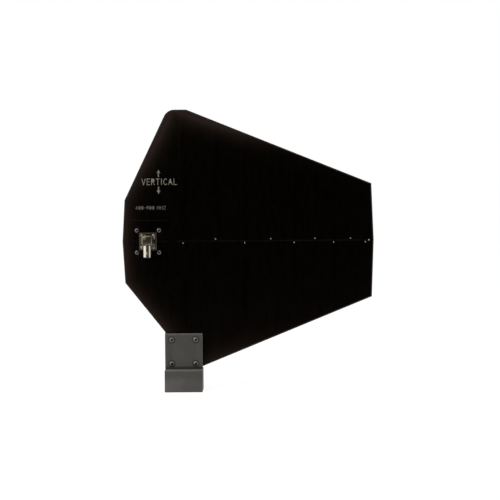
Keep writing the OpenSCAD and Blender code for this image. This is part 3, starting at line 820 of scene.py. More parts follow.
class LetteringSettings(PropertyGroup):
    word: StringProperty(name="Word", description="Plain word beside the arrows", default="VERTICAL")
    numbers: StringProperty(name="Numbers", description="Plain line of numbers", default="400-900 MHZ")
    word_height: length("Word height", "Height of the word's letters", 7.6)
    word_width: length("Word width", "Length of the whole word", 40.9)
    word_x: length("Word's start", "Place of the word's first letter along the boom", -47.2)
    word_rise: length("Word's rise", "Height of the word's foot above the boom line", 64.6)
    numbers_height: length("Numbers height", "Height of the line of numbers", 4.4)
    numbers_width: length("Numbers width", "Length of the line of numbers", 35.0)
    numbers_x: length("Numbers' start", "Place of the first number along the boom", -54.4)
    numbers_rise: length("Numbers' rise", "Height of the numbers' foot above the boom line", 36.4)
    word_stroke: length("Word stroke", "Width of the word's strokes", 0.85)
    numbers_stroke: length("Numbers stroke", "Width of the numbers' strokes", 0.62)
    arrow_x: length("Arrows", "Place of both arrows along the boom", -27.6)
    arrow_gap: length("Arrow gap", "Distance from the word to each arrow", 1.9)
    arrow_length: length("Arrow length", "Length of an arrow", 8.2)
    arrow_head: length("Arrow head", "Width of an arrow's head", 4.2)
    arrow_shaft: length("Arrow shaft", "Width of an arrow's shaft", 1.35)
    ink_depth: length("Ink depth", "Thickness of the ink", 0.03)
    ink_gap: length("Ink gap", "Distance from the coating to the ink", 0.005)
    ink: tone("Ink", "Colour of the ink", (0.20, 0.185, 0.15))
    ink_thin: tone("Thin ink", "Colour of the ink where it has worn", (0.10, 0.092, 0.072))
    faint_ink: tone("Faint ink", "Colour of the line of numbers", (0.075, 0.068, 0.058))


class BracketSettings(PropertyGroup):
    bracket_round: length("Bracket edges", "Rounding of the bracket's eased edges", 0.22)
    stand_pitch: length("Stand thread pitch", "Pitch of the thread in the bracket", 25.4 / 27)
    stand_depth: length("Stand thread depth", "Depth of the thread in the bracket", 0.5)
    lead_in: length("Lead-in", "Chamfer at the mouth of the stand thread", 0.7)
    block_top: length("Block's top", "Height of the bracket's block", 25.4)
    bracket_tone: tone("Flange", "Grey of the bracket's flange", (0.062, 0.0600, 0.0525))
    # Painted reflection on the lower block
    block_reflection_tone: tone("Block", "Grey of the bracket's block", (0.106, 0.0990, 0.1010))
    bracket_cloud: tone("Cloud", "Darker patches of the bracket", (0.054, 0.0510, 0.0455))
    bracket_glint: tone("Glint", "Paler grains of the blasted surface", (0.095, 0.092, 0.085))
    # Worn metal on the eased edges, and the colour of the painted highlights along the top edges
    worn_and_lit_tone: tone("Worn edge", "Metal that shows along the eased edges", (0.125, 0.121, 0.110))
    # Painted shade for the bracket's corner, round its screws and inside the sockets
    painted_shade_tone: tone("Grime", "Dirt in corners and sockets", (0.012, 0.0115, 0.010))
    # Painted shade at the bottom of the sockets
    oil: tone("Oil", "Oil in the screws' sockets", (0.003, 0.0028, 0.0025))


class FastenerSettings(PropertyGroup):
    bracket_length: length("Bracket screw", "Length of a bracket screw under its head", 12.7)
    bracket_socket: length("Bracket screw's socket", "Width of its hex socket over the flats", 2.1)
    bracket_shank: length("Bracket screw's radius", "Radius over its thread's crests", 1.75)
    bracket_pitch: length("Bracket screw's pitch", "Pitch of its thread", 0.794)
    bracket_thread: length("Bracket screw's thread", "Distance from its head to the thread", 8)
    cover_length: length("Cover screw", "Length of a cover screw under its head", 8)
    cover_socket: length("Cover screw's socket", "Width of its hex socket over the flats", 1.8)
    cover_shank: length("Cover screw's radius", "Radius over its thread's crests", 1.42)
    cover_pitch: length("Cover screw's pitch", "Pitch of its thread", 0.9)
    cover_thread: length("Cover screw's thread", "Distance from its head to the thread", 3.5)
    flange_length: length("Flange screw", "Length of a flange screw under its head", 6.35)
    flange_socket: length("Flange screw's slot", "Width of its slot", 0.6)
    flange_shank: length("Flange screw's radius", "Radius over its thread's crests", 1.09)
    flange_pitch: length("Flange screw's pitch", "Pitch of its thread", 0.454)
    flange_thread: length("Flange screw's thread", "Distance from its head to the thread", 3.5)
    nut_round: length("Nut edges", "Rounding of the bracket's nuts and washers", 0.14)
    small_nut_round: length("Small nut edges", "Rounding of the flange screws' nuts", 0.098)
    oxide: tone("Black oxide", "Black of the button-head screws", (0.085, 0.081, 0.076))
    oxide_rubbed: tone("Rubbed oxide", "Black oxide where it is rubbed", (0.165, 0.158, 0.149))
    screw_nickel: tone("Screw nickel", "Nickel of the flange screws", (0.36, 0.325, 0.265))
    screw_nickel_dull: tone("Dull screw nickel", "Tarnish of the flange screws", (0.25, 0.225, 0.18))
    zinc: tone("Zinc", "Zinc of the nuts and washers", (0.60, 0.59, 0.56))
    zinc_blue: tone("Blue zinc", "Blue of its passivation", (0.50, 0.53, 0.58))
    zinc_yellow: tone("Yellow zinc", "Yellow of its passivation", (0.62, 0.57, 0.45))


class JackSettings(PropertyGroup):
    body_round: length("Body edges", "Rounding of the jack body's edges", 0.3)
    insulator_round: length("Insulator edges", "Rounding of the insulators' edges", 0.08)
    contact_round: length("Contact edges", "Rounding of the centre contact's edges", 0.04)
    mouth: length("Mouth", "Radius of the barrel's mouth", 4.05)
    throat: length("Throat", "Radius of the barrel behind its mouth", 3.52)
    step: length("Step", "Depth of the mouth", 8.4)
    lip: length("Lip", "Rounding of the barrel's ends", 0.22)
    ripple: length("Ripple", "Depth of the ripple that polishing left on the barrel", 0.018)
    wave: length("Wave", "Depth of the waves in the barrel's shine", 0.05)
    lug_rise: length("Lugs", "Distance of the bayonet lugs behind the mouth", 5.2)
    lug_radius: length("Lug radius", "Radius of a bayonet lug", 1.0)
    body_nickel: tone("Body nickel", "Nickel of the jack's body", (0.255, 0.220, 0.157))
    body_nickel_dull: tone("Dull body nickel", "Tarnish of the jack's body", (0.185, 0.156, 0.107))
    barrel_nickel: tone("Barrel nickel", "Nickel of the barrel", (0.88, 0.83, 0.71))
    barrel_nickel_dull: tone("Dull barrel nickel", "Tarnish of the barrel", (0.76, 0.70, 0.56))
    scuff: tone("Scuffs", "Scuffed nickel", (0.62, 0.59, 0.53))
    # Darker tone for the jack's flange edge, front bevel and barrel mouth
    jack_dark_tone: tone("Jack dirt", "Dirt in the jack's corners", (0.030, 0.026, 0.019))
    white: tone("Insulator", "White of the insulators", (0.83, 0.82, 0.77))
    white_dull: tone("Dull insulator", "Duller patches of the insulators", (0.74, 0.72, 0.66))
    gold: tone("Gold", "Gold of the centre contact", (0.83, 0.58, 0.22))
    gold_worn: tone("Worn gold", "Nickel that shows through the gold", (0.66, 0.58, 0.42))


class RearSettings(PropertyGroup):
    cover_round: length("Cover edges", "Rounding of the moulded cover's edges", 0.4)
    jacket_wall: length("Jacket wall", "Thickness of the feed line's jacket", 0.25)
    dents: length("Dents", "Depth of the dents that bending left in the jacket", 0.012)
    joint_half: length("Joint width", "Half the width of a solder joint on the jacket", 2.25)
    joint_height: length("Joint height", "Height of a solder joint on the jacket", 1.32)
    plastic: tone("Cover", "Black of the moulded cover", (0.0085, 0.008, 0.0075))
    plastic_light: tone("Pale cover", "Paler patches of the cover", (0.0135, 0.013, 0.0125))
    plastic_dust: tone("Cover dust", "Dust on the cover", (0.05, 0.048, 0.045))
    copper: tone("Copper", "Copper of the feed line's jacket", (0.72, 0.36, 0.21))
    copper_tarnish: tone("Tarnish", "Tarnished copper", (0.38, 0.17, 0.10))
    copper_drawn: tone("Drawn lines", "Bright lines along the copper", (0.80, 0.50, 0.34))
    solder: tone("Solder", "Solder on the feed line", (0.60, 0.60, 0.57))
    solder_stain: tone("Flux stain", "Flux stain on the feed line's solder", (0.36, 0.34, 0.30))
    old_solder: tone("Aged solder", "Solder of the joints along the boom", (0.26, 0.25, 0.23))
    old_solder_stain: tone("Aged stain", "Flux stain on the joints along the boom", (0.15, 0.14, 0.12))


class StageSettings(PropertyGroup):
    distance: length("Distance", "Distance of the camera from the front of the board", 1300)
    view_width: length("View width", "Width of the view at the front of the board", 574.4)
    aim_x: length("Aim across", "Place that the camera aims at along the boom", 76.8)
    aim_z: length("Aim up", "Height that the camera aims at", 161.35)
    tilt: degrees("Tilt", "Angle at which the camera looks down", 1.4)
    roll: degrees("Roll", "Turn of the camera about its view", -0.44)
    sensor: number("Sensor", "Width of the camera's sensor", 36, "CAMERA")
    left_wall: number("Left wall", "Strength of the white on the left", 1.2)
    right_wall: number("Right wall", "Strength of the white on the right", 0.8)
    ceiling: number("Ceiling", "Strength of the white above", 1.15)
    front_gap: number("Gap", "Strength of the dark behind the camera", 0.05)
    left_from: degrees("Left wall's start", "Angle from the view at which the left wall starts", 29)
    left_full: degrees("Left wall's full", "Angle from the view at which it is fully white", 37)
    right_from: degrees("Right wall's start", "Angle from the view at which the right wall starts", 45)
    right_full: degrees("Right wall's full", "Angle from the view at which it is fully white", 55)
    ceiling_from: degrees("Ceiling's start", "Angle above the horizon at which the ceiling starts", 26)
    ceiling_full: degrees("Ceiling's full", "Angle above the horizon at which it is fully white", 48)
    key: number("Key lamp", "Power of the lamp above left", 13, "POWER")
    key_place: place("Key place", "Place of the lamp above left", (-750, -950, 1050))
    key_aim: place("Key aim", "Place that the lamp above left shines at", (50, 0, 170))
    key_tone: tone("Key tone", "Colour of the lamp above left", (1.0, 0.97, 0.93))
    key_width: length("Key width", "Width of the lamp above left", 1500)
    key_height: length("Key height", "Height of the lamp above left", 1100)
    floor_tone: tone("Floor", "Colour of the floor", (0.8, 0.8, 0.79))
    floor_z: length("Floor height", "Height of the floor", 0)
    floor_half: length("Floor size", "Half of the floor's width", 4000)
    floor_front: length("Floor front", "How far the floor reaches in front of the board", 560)


class AntennaSettings(PropertyGroup):
    coating: PointerProperty(type=CoatingSettings)
    lettering: PointerProperty(type=LetteringSettings)
    bracket: PointerProperty(type=BracketSettings)
    fasteners: PointerProperty(type=FastenerSettings)
    jack: PointerProperty(type=JackSettings)
    rear: PointerProperty(type=RearSettings)
    stage: PointerProperty(type=StageSettings)


# Strokes of the plain letters, in a box one unit high, after the box's width


def arc(x, y, rx, ry, start, end, steps=10):
    """Points of an arc in degrees, counter-clockwise from the right."""
    turns = [math.radians(start + (end - start) * i / steps) for i in range(steps + 1)]
    return [(x + rx * math.cos(a), y + ry * math.sin(a)) for a in turns]


GLYPHS = {
    "V": (0.56, [[(0, 1), (0.28, 0), (0.56, 1)]]),
    "E": (0.42, [[(0.42, 1), (0, 1), (0, 0), (0.42, 0)], [(0, 0.52), (0.36, 0.52)]]),
    "R": (
        0.46,
        [
            [(0, 0), (0, 1), (0.21, 1), *arc(0.21, 0.73, 0.23, 0.27, 90, -90), (0, 0.46)],
            [(0.24, 0.46), (0.46, 0)],
        ],
    ),
    "T": (0.5, [[(0, 1), (0.5, 1)], [(0.25, 1), (0.25, 0)]]),
    "I": (0.12, [[(0.06, 1), (0.06, 0)]]),
    "C": (0.48, [arc(0.29, 0.5, 0.29, 0.5, 50, 310, 20)]),
    "A": (0.58, [[(0, 0), (0.29, 1), (0.58, 0)], [(0.1, 0.34), (0.48, 0.34)]]),
    "L": (0.44, [[(0, 1), (0, 0), (0.44, 0)]]),
    "M": (0.74, [[(0, 0), (0, 1), (0.37, 0.3), (0.74, 1), (0.74, 0)]]),
    "H": (0.62, [[(0, 1), (0, 0)], [(0.62, 1), (0.62, 0)], [(0, 0.52), (0.62, 0.52)]]),
    "Z": (0.6, [[(0, 1), (0.6, 1), (0, 0), (0.6, 0)]]),
    "0": (0.58, [arc(0.29, 0.5, 0.29, 0.5, 0, 360, 24)]),
    "4": (0.6, [[(0.46, 0), (0.46, 1), (0, 0.3), (0.6, 0.3)]]),
    "9": (0.56, [arc(0.28, 0.7, 0.28, 0.3, 0, 360, 20), [(0.56, 0.7), (0.5, 0.3), (0.2, 0)]]),
    "-": (0.4, [[(0.04, 0.48), (0.36, 0.48)]]),
    " ": (0.3, []),
}


def capsule(a, b, width, steps=6):
    """Outline of a stroke from a to b with round ends, counter-clockwise."""
    along = math.atan2(b.y - a.y, b.x - a.x)
    points = []
    for centre, start in ((b, -math.pi / 2), (a, math.pi / 2)):
        for i in range(steps + 1):
            angle = along + start + math.pi * i / steps
            points.append(centre + Vector((math.cos(angle), math.sin(angle))) * width / 2)
    return points


def lettered(words, at, height, width, stroke):
    """Outlines of the strokes of a line of letters that starts at a point and has a given length."""
    gap = 0.29
    natural = sum(GLYPHS[letter][0] for letter in words) + gap * (len(words) - 1)
    stretch = Vector(((width - stroke) / natural, height - stroke))
    start = Vector(at) + Vector((stroke, stroke)) / 2
    shapes = []
    across = 0
    for letter in words:
        box, strokes = GLYPHS[letter]
        for line in strokes:
            points = [start + Vector((across + x, z)) * stretch for x, z in line]
            shapes += [capsule(a, b, stroke) for a, b in zip(points, points[1:])]
        across += box + gap
    return shapes


def printed(bm, shapes, y, depth):
    """Joins flat outlines into one layer of ink on the plane y, towards the front."""
    points = [p for shape in shapes for p in shape]
    faces = []
    start = 0
    for shape in shapes:
        faces.append(list(range(start, start + len(shape))))
        start += len(shape)
    verts, _, triangles, _, _, _ = delaunay_2d_cdt(points, [], faces, 1, 0.001 * MM)
    top = [bm.verts.new((p.x, y - depth, p.y)) for p in verts]
    base = [bm.verts.new((p.x, y, p.y)) for p in verts]
    for triangle in triangles:
        bm.faces.new([top[i] for i in triangle])
        bm.faces.new([base[i] for i in reversed(triangle)])
    sides = dict.fromkeys(side for t in triangles for side in zip(t, t[1:] + t[:1]))
    for a, b in sides:
        if (b, a) not in sides:
            bm.faces.new((top[b], top[a], base[a], base[b]))
    loose = [v for v in bm.verts if not v.link_faces]
    bmesh.ops.delete(bm, geom=loose, context="VERTS")


# Screws


class ScrewSize:
    """The lengths of one kind of screw, from its settings."""

    def __init__(self, settings, kind):
        self.length = getattr(settings, kind + "_length")
        self.socket = getattr(settings, kind + "_socket")
        self.shank = getattr(settings, kind + "_shank")
        self.pitch = getattr(settings, kind + "_pitch")
        self.thread = getattr(settings, kind + "_thread")


def threaded_end(bm, place, size, chamfer, segments):
    """A screw's thread and its chamfered tip, for a chamfer of (length, depth)."""
    depth = size.pitch * 0.58
    tip = size.length - chamfer[0]
    point = size.shank - chamfer[1]
    threaded(bm, place, size.shank, depth, size.pitch, size.thread, tip, segments)
    turned(bm, [(size.shank, tip), (point, size.length), (0, size.length)], place, segments)


def button_screw(bm, place, radius, height, size):
    """A button-head screw along the Z axis of place, its bearing face at 0, with a hex socket and a thread.
    The socket's inside and the head's rim have the second finish, which paints shade on them."""
    segments = 72
    edge = 0.1 * MM
    socket = size.socket / 2
    dome = [(r, -h) for r, h in dome_profile(radius, height, 10, socket * 1.22)]
    under = [(size.shank, 0), (radius - edge, 0), (radius, -edge * 0.8)]
    rings = turned(bm, under + dome[1:], place, segments)
    # Painted shade on the head's rim, in the socket's finish
    for face in {face for vert in rings[len(under)] for face in vert.link_faces}:
        face.material_index = 1
    rim, top = dome[-1]
    floor = -height * 0.3
    inside = [(rim, top), (socket * 1.06, top + 0.1 * MM, 6), (socket, top + 0.22 * MM, 6)]
    inside += [(socket, floor, 6), (socket * 0.55, floor + 0.05 * MM), (0, floor + 0.25 * MM)]
    turned(bm, inside, place, segments, finish=1)
    turned(bm, [(size.shank, 0), (size.shank, size.thread)], place, segments)
    threaded_end(bm, place, size, (size.pitch * 0.6, size.pitch * 0.5), segments)


def button_screws(name, node, size, finishes, seed):
    """Makes the piece of a node's button-head screws, each with its socket turned another way."""
    draw = random.Random(seed)
    bm = bmesh.new()
    for screw in solids(node):
        seat = screw.high.y - size.length
        place = pointing((0, 1, 0), (screw.centre.x, seat, screw.centre.z), draw.uniform(0, 1))
        button_screw(bm, place, screw.radius, seat - screw.low.y, size)
    tidy(bm)
    new_piece(name, bm, finishes, [node])


# Operators


class ANTENNA_OT_board(Operator):
    """Builds the laminate board with its coating, bare margin and routed edge"""

    bl_idname = "antenna.board"
    bl_label = "Coated board"

    def execute(self, context):
        settings = context.scene.antenna.coating
        loops = outlines("antenna_board", BOARD_FRONT)
        outer = largest(loops)
        hole_chamfer = 0.04 * MM
        margin = settings.margin
        slope = 0.02 * MM
        front = BOARD_FRONT + settings.coat_depth
        rear = BOARD_REAR - settings.coat_depth

        def levels(loop):
            if loop is not outer:
                return [
                    (-hole_chamfer, BOARD_FRONT, 0), (0, BOARD_FRONT + hole_chamfer, 1),
                    (0, BOARD_REAR - hole_chamfer, 1), (-hole_chamfer, BOARD_REAR, 1),
                ]
            return [
                (-margin - slope, BOARD_FRONT, 0), (-margin, front, 0),
                (-settings.chamfer, front, 1), (0, front + settings.chamfer, 1),
                (0, rear - settings.chamfer, 1), (-settings.chamfer, rear, 1),
                (-margin, rear, 1), (-margin - slope, BOARD_REAR, 0),
            ]

        bm = bmesh.new()
        stack(bm, loops, levels)
        tidy(bm)
        coats = [coating_finish("black_coating", settings), laminate_finish(settings)]
        new_piece("coated_board", bm, coats, ["antenna_board"])
        return {"FINISHED"}


class ANTENNA_OT_copper(Operator):
    """Builds the coated copper of both faces, with the shoulders that the coating makes over its edges"""

    bl_idname = "antenna.copper"
    bl_label = "Coated copper"

    # Shares of the shoulder outwards, or of the crest inwards, and of the copper's thickness
    SECTION = ((1, -0.1), (1, 0.06), (0.45, 0.35), (0, 0.75), (-0.4, 0.94), (-1, 1))
    HOLE_AREA = 12 * MM * MM
    HOLE_EDGE = 0.02 * MM

    def execute(self, context):
        settings = context.scene.antenna.coating
        finish = coating_finish("coating_on_copper", settings, shine=0.04, boom=True)
        self.pattern("front", BOARD_FRONT, COPPER_FRONT, settings, finish)
        self.pattern("rear", BOARD_REAR, COPPER_REAR, settings, finish)
        return {"FINISHED"}

    def pattern(self, side, base, top, settings, finish):
        def levels(loop):
            hole = abs(signed_area(loop)) < self.HOLE_AREA
            outwards = self.HOLE_EDGE if hole else settings.shoulder
            inwards = self.HOLE_EDGE if hole else settings.crest
            return [
                (share * (outwards if share > 0 else inwards), base + (top - base) * rise, 0)
                for share, rise in self.SECTION
            ]

        node = side + "_copper"
        bm = bmesh.new()
        stack(bm, outlines(node, top), levels)
        tidy(bm)
        new_piece(side + "_pattern", bm, [finish], [node])


class ANTENNA_OT_boom_joints(Operator):
    """Builds the soldered holes along the boom and the joint at the feed point"""

    bl_idname = "antenna.boom_joints"
    bl_label = "Boom joints"

    def execute(self, context):
        settings = context.scene.antenna.rear
        finish = solder_finish("aged_solder", settings.old_solder, settings.old_solder_stain)
        draw = random.Random(7)
        bm = bmesh.new()
        for pin in solids("via_pins"):
            for side, face, end in ((-1, COPPER_FRONT, pin.low.y), (1, COPPER_REAR, pin.high.y)):
                height = abs(end - face) * draw.uniform(0.8, 1.0)
                place = pointing((0, side, 0), (pin.centre.x, face, pin.centre.z))
                self.bead(bm, place, pin.radius, height)
        self.joint("boom_holes", bm, finish, "via_pins")
        bm = bmesh.new()
        lowest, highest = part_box("tip_solder")
        place = pointing((0, -1, 0), (FEED_X, highest.y, BOOM_Z))
        self.cone(bm, place, (highest.x - lowest.x) / 2, highest.y - lowest.y)
        self.joint("feed_joint", bm, finish, "tip_solder")
        return {"FINISHED"}

    def bead(self, bm, place, radius, height):
        """A flat bead of solder that fills a hole."""
        sunk = -0.03 * MM
        neck, foot = radius * 0.93, height * 0.12
        profile = [(0, sunk), (radius, sunk), (radius, 0), (neck, foot)]
        profile += [(r * 0.93, foot + h * 0.88) for r, h in dome_profile(radius, height, 6)[1:-1]]
        turned(bm, profile + [(0, height)], place, 32)

    def cone(self, bm, place, radius, height):
        """A joint that climbs the feed line's core."""
        sunk = 0.02 * MM
        profile = [(0, -sunk), (radius, -sunk), (radius, sunk)]
        shares = ((0.86, 0.14), (0.62, 0.5), (0.42, 0.82), (0.2, 0.97), (0, 1))
        turned(bm, profile + [(radius * wide, height * tall) for wide, tall in shares], place, 48)

    def joint(self, name, bm, finish, node):
        tidy(bm)
        new_piece(name, bm, [finish], [node], sharp=math.radians(50))


class ANTENNA_OT_lettering(Operator):
    """Prints the arrows, the plain word and the line of numbers on the front of the board"""

    bl_idname = "antenna.lettering"
    bl_label = "Lettering"

    def execute(self, context):
        settings = context.scene.antenna.lettering
        foot = BOOM_Z + settings.word_rise
        shapes = lettered(
            settings.word, (settings.word_x, foot),
            settings.word_height, settings.word_width, settings.word_stroke,
        )
        shapes.append(self.arrow(settings, foot + settings.word_height + settings.arrow_gap, 1))
        shapes.append(self.arrow(settings, foot - settings.arrow_gap, -1))
        ink = ink_finish("printed_ink", settings.ink, settings.ink_thin, 0.8)
        self.layer("polarisation_mark", shapes, settings, ink)
        shapes = lettered(
            settings.numbers, (settings.numbers_x, BOOM_Z + settings.numbers_rise),
            settings.numbers_height, settings.numbers_width, settings.numbers_stroke,
        )
        faint = ink_finish("faint_ink", settings.faint_ink, settings.ink_thin, 0.6)
        self.layer("numbers", shapes, settings, faint)
        return {"FINISHED"}

    def arrow(self, settings, base, way):
        """Outline of an arrow that points up from its base where way is 1, and down where it is -1."""
        neck = base + way * settings.arrow_length * 0.52
        tip = base + way * settings.arrow_length
        shaft = settings.arrow_shaft / 2
        head = settings.arrow_head / 2
        right = [(shaft, base), (shaft, neck), (head, neck)]
        left = [(-x, z) for x, z in reversed(right)]
        outline = [*right, (0, tip), *left]
        return [Vector((settings.arrow_x + x, z)) for x, z in outline[::way]]

    def layer(self, name, shapes, settings, ink):
        bm = bmesh.new()
        printed(bm, shapes, BOARD_FRONT - settings.ink_gap, settings.ink_depth)
        tidy(bm)
        new_piece(name, bm, [ink])


class ANTENNA_OT_bracket(Operator):
    """Builds the bracket with rounded edges and the thread for the stand"""

    bl_idname = "antenna.bracket"
    bl_label = "Bracket"

    def execute(self, context):
        settings = context.scene.antenna.bracket
        underside = 0.01 * MM
        widest = 10 * MM
        bm = node_bmesh("bracket")
        mouth = [v.co.xy.length for v in bm.verts if v.co.z < underside]
        bore = min(reach for reach in mouth if reach < widest)
        deep = max(v.co.z for face in self.wall(bm, bore) for v in face.verts)

        def at_mouth(edge):
            return all(self.on_bore(v, bore) and v.co.z < underside for v in edge.verts)

        def outside(edge):
            reach = bore + settings.lead_in * 1.3
            return not all(v.co.xy.length < reach and v.co.z < deep + MM for v in edge.verts)

        soften(bm, settings.lead_in, 1, chosen=at_mouth)
        soften(bm, settings.bracket_round, 3, math.radians(20), outside)
        bmesh.ops.delete(bm, geom=self.wall(bm, bore), context="FACES")
        threaded(
            bm, Matrix.Identity(4), bore, -settings.stand_depth, settings.stand_pitch,
            settings.lead_in, deep, 72,
        )
        open_edges = [e for e in bm.edges if e.is_boundary]
        for lower in (True, False):
            seam = [e for e in open_edges if (e.verts[0].co.z < deep / 2) == lower]
            bmesh.ops.bridge_loops(bm, edges=seam)
        tidy(bm)
        self.mark_eased(bm, bore)
        new_piece("stand_bracket", bm, [anodised_finish(settings)], ["bracket"])
        return {"FINISHED"}

    def on_bore(self, vert, bore):
        return abs(vert.co.xy.length - bore) < 0.05 * MM

    def wall(self, bm, bore):
        """The wall of the hole for the stand."""
        upright = [face for face in bm.faces if abs(face.normal.z) < 0.5]
        return [face for face in upright if all(self.on_bore(v, bore) for v in face.verts)]

    def mark_eased(self, bm, bore):
        """Marks the faces of the rounded edges, where the finish is worn."""
        square = math.cos(math.radians(6))
        eased = bm.faces.layers.float.new("eased")
        for face in bm.faces:
            straight = max(abs(part) for part in face.normal) > square
            at_bore = face.calc_center_median().xy.length < bore + MM
            face[eased] = 0.0 if straight or at_bore else 1.0


class ANTENNA_OT_bracket_fasteners(Operator):
    """Builds the bracket's screws, washers and nuts"""

    bl_idname = "antenna.bracket_fasteners"
    bl_label = "Bracket fasteners"

    def execute(self, context):
        settings = context.scene.antenna.fasteners
        finishes = [black_screw_finish(settings), socket_shade_finish(context.scene.antenna.bracket)]
        size = ScrewSize(settings, "bracket")
        button_screws("bracket_button_screws", "bracket_screws", size, finishes, 3)
        zinc = zinc_finish(settings)
        eased_piece("plain_washers", "bracket_washers", settings.nut_round, zinc)
        eased_piece("hex_nuts", "bracket_nuts", settings.nut_round, zinc)
        return {"FINISHED"}


class ANTENNA_OT_jack(Operator):
    """Builds the right-angle jack: body, bayonet barrel, insulators and contacts"""

    bl_idname = "antenna.jack"
    bl_label = "Jack"

    def execute(self, context):
        settings = context.scene.antenna.jack
        body = nickel_finish(
            "dull_nickel", settings, settings.body_nickel, settings.body_nickel_dull,
            (0.19, 0.29), 0.1, darkening=body_darkening,
        )
        eased_piece("jack_body", "connector_body", settings.body_round, body)
        self.barrel(settings)
        white = fluoropolymer_finish(settings)
        for node, name in (("connector_insulator", "jack_insulator"), ("tail_insulator", "tail_bush")):
            eased_piece(name, node, settings.insulator_round, white)
        gold = gold_finish(settings)
        eased_piece("socket_contact", "centre_contact", settings.contact_round, gold)
        finish_node("tail_pin", gold)
        return {"FINISHED"}

    def barrel(self, settings):
        """The turned barrel, with the slight ripple of its polish, a rolled lip and two domed lugs."""
        lowest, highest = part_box("connector_barrel")
        axis = Vector((middle("connector_barrel").x, middle("connector_barrel").y, lowest.z))
        tall = highest.z - lowest.z
        radius = (highest.x - lowest.x) / 2
        lip = settings.lip
        outer = [(radius - lip, 0), (radius - lip * 0.3, lip * 0.3), (radius, lip)]
        draw = random.Random(11)
        rings = 14
        for i in range(1, rings):
            outer.append((radius - draw.uniform(0, settings.ripple), lip + (tall - 2 * lip) * i / rings))
        outer += [(radius, tall - lip), (radius - lip, tall)]
        inner = [(settings.throat, tall), (settings.throat, settings.step), (settings.mouth, settings.step)]
        inner += [(settings.mouth, lip), (settings.mouth + lip * 0.7, 0.02 * MM)]
        bm = bmesh.new()
        turned(bm, outer + inner, Matrix.Translation(axis), 96, closed=True)
        for way in (-1, 1):
            place = pointing((0, way, 0), axis + Vector((0, 0, settings.lug_rise)))
            self.lug(bm, place, settings.lug_radius, radius - 0.4 * MM, (highest.y - lowest.y) / 2)
        bmesh.ops.recalc_face_normals(bm, faces=bm.faces)
        bright = nickel_finish(
            "bright_nickel", settings, settings.barrel_nickel, settings.barrel_nickel_dull,
            (0.07, 0.15), 0.15, settings.wave, mouth_darkening,
        )
        new_piece("jack_barrel", bm, [bright], ["connector_barrel"])

    def lug(self, bm, place, radius, root, reach):
        """A bayonet lug with a rounded tip, from its root inside the barrel's wall to its reach."""
        profile = [(0, root), (radius, root), (radius, reach - 0.15 * MM)]
        profile += [(radius - 0.06 * MM, reach - 0.05 * MM), (radius - 0.2 * MM, reach), (0, reach)]
        turned(bm, profile, place, 32)


class ANTENNA_OT_jack_fasteners(Operator):
    """Builds the slotted flange screws and their nuts"""

    bl_idname = "antenna.jack_fasteners"
    bl_label = "Jack fasteners"

    def execute(self, context):
        settings = context.scene.antenna.fasteners
        nickel = nickel_finish(
            "screw_nickel", context.scene.antenna.jack, settings.screw_nickel,
            settings.screw_nickel_dull, (0.28, 0.42), 0.15,
        )
        size = ScrewSize(settings, "flange")
        draw = random.Random(5)
        bm = bmesh.new()
        for screw in solids("flange_screws"):
            seat = Vector((screw.centre.x, screw.high.y - size.length, screw.centre.z))
            height = seat.y - screw.low.y
            place = pointing((0, -1, 0), seat, draw.uniform(0, math.pi))
            self.slotted_head(bm, place, screw.radius, height, size.socket / 2)
            back = pointing((0, 1, 0), seat)
            inside = -height * 0.25
            turned(bm, [(0, inside), (size.shank, inside), (size.shank, size.thread)], back, 32)
            threaded_end(bm, back, size, (0.25 * MM, 0.22 * MM), 32)
        tidy(bm)
        new_piece("flange_slotted_screws", bm, [nickel], ["flange_screws"])
        eased_piece("flange_hex_nuts", "flange_nuts", settings.small_nut_round, nickel)
        return {"FINISHED"}

    def slotted_head(self, bm, place, radius, height, slot):
        """A round head with a straight slot, in rows that lie on the slot's floor or on the head's crown."""
        floor = height * 0.52
        steps = 7
        edge = slot / radius
        parts = (0.4, 0.62, 0.8, 0.93, 1.0, edge)
        at_edge = {-edge: (False, True), edge: (True, False)}
        crest, foot = [], []
        for a in sorted(side * part for side in (-1, 1) for part in parts):
            half = math.sqrt(max(0, 1 - a * a))
            points = [(a * radius, half * (2 * i / steps - 1) * radius) for i in range(steps + 1)]
            base = [bm.verts.new(place @ Vector((x, y, 0))) for x, y in points]
            for in_slot in at_edge.get(a, (False,)):
                row = [(x, y, floor if in_slot else self.crown(x, y, radius, height)) for x, y in points]
                crest.append([bm.verts.new(place @ Vector(point)) for point in row])
                foot.append(base)
        for k in range(len(crest) - 1):
            for i in range(steps):
                self.face(bm, crest[k][i], crest[k][i + 1], crest[k + 1][i + 1], crest[k + 1][i])
                self.face(bm, foot[k + 1][i], foot[k + 1][i + 1], foot[k][i + 1], foot[k][i])
            for end in (0, -1):
                self.face(bm, crest[k][end], crest[k + 1][end], foot[k + 1][end], foot[k][end])

    def crown(self, x, y, radius, height):
        """Height of the head over a place, without its slot."""
        share = min(1, math.hypot(x, y) / radius)
        return height * (0.62 + 0.38 * math.sqrt(max(0, 1 - share ** 2.6)))

    def face(self, bm, *corners):
        """A face between corners, where three of them or more differ."""
        corners = list(dict.fromkeys(corners))
        if len(corners) > 2:
            bm.faces.new(corners)


class ANTENNA_OT_cover(Operator):
    """Builds the moulded rear cover and its black screws"""

    bl_idname = "antenna.cover"
    bl_label = "Rear cover"

    def execute(self, context):
        settings = context.scene.antenna.rear
        plastic = cover_finish(settings)
        eased_piece(
            "moulded_cover", "rear_cover", settings.cover_round, plastic, 3, math.radians(20)
        )
        finishes = [bpy.data.materials["black_oxide"], bpy.data.materials["socket_grime"]]
        size = ScrewSize(context.scene.antenna.fasteners, "cover")
        button_screws("cover_button_screws", "cover_screws", size, finishes, 9)
        return {"FINISHED"}


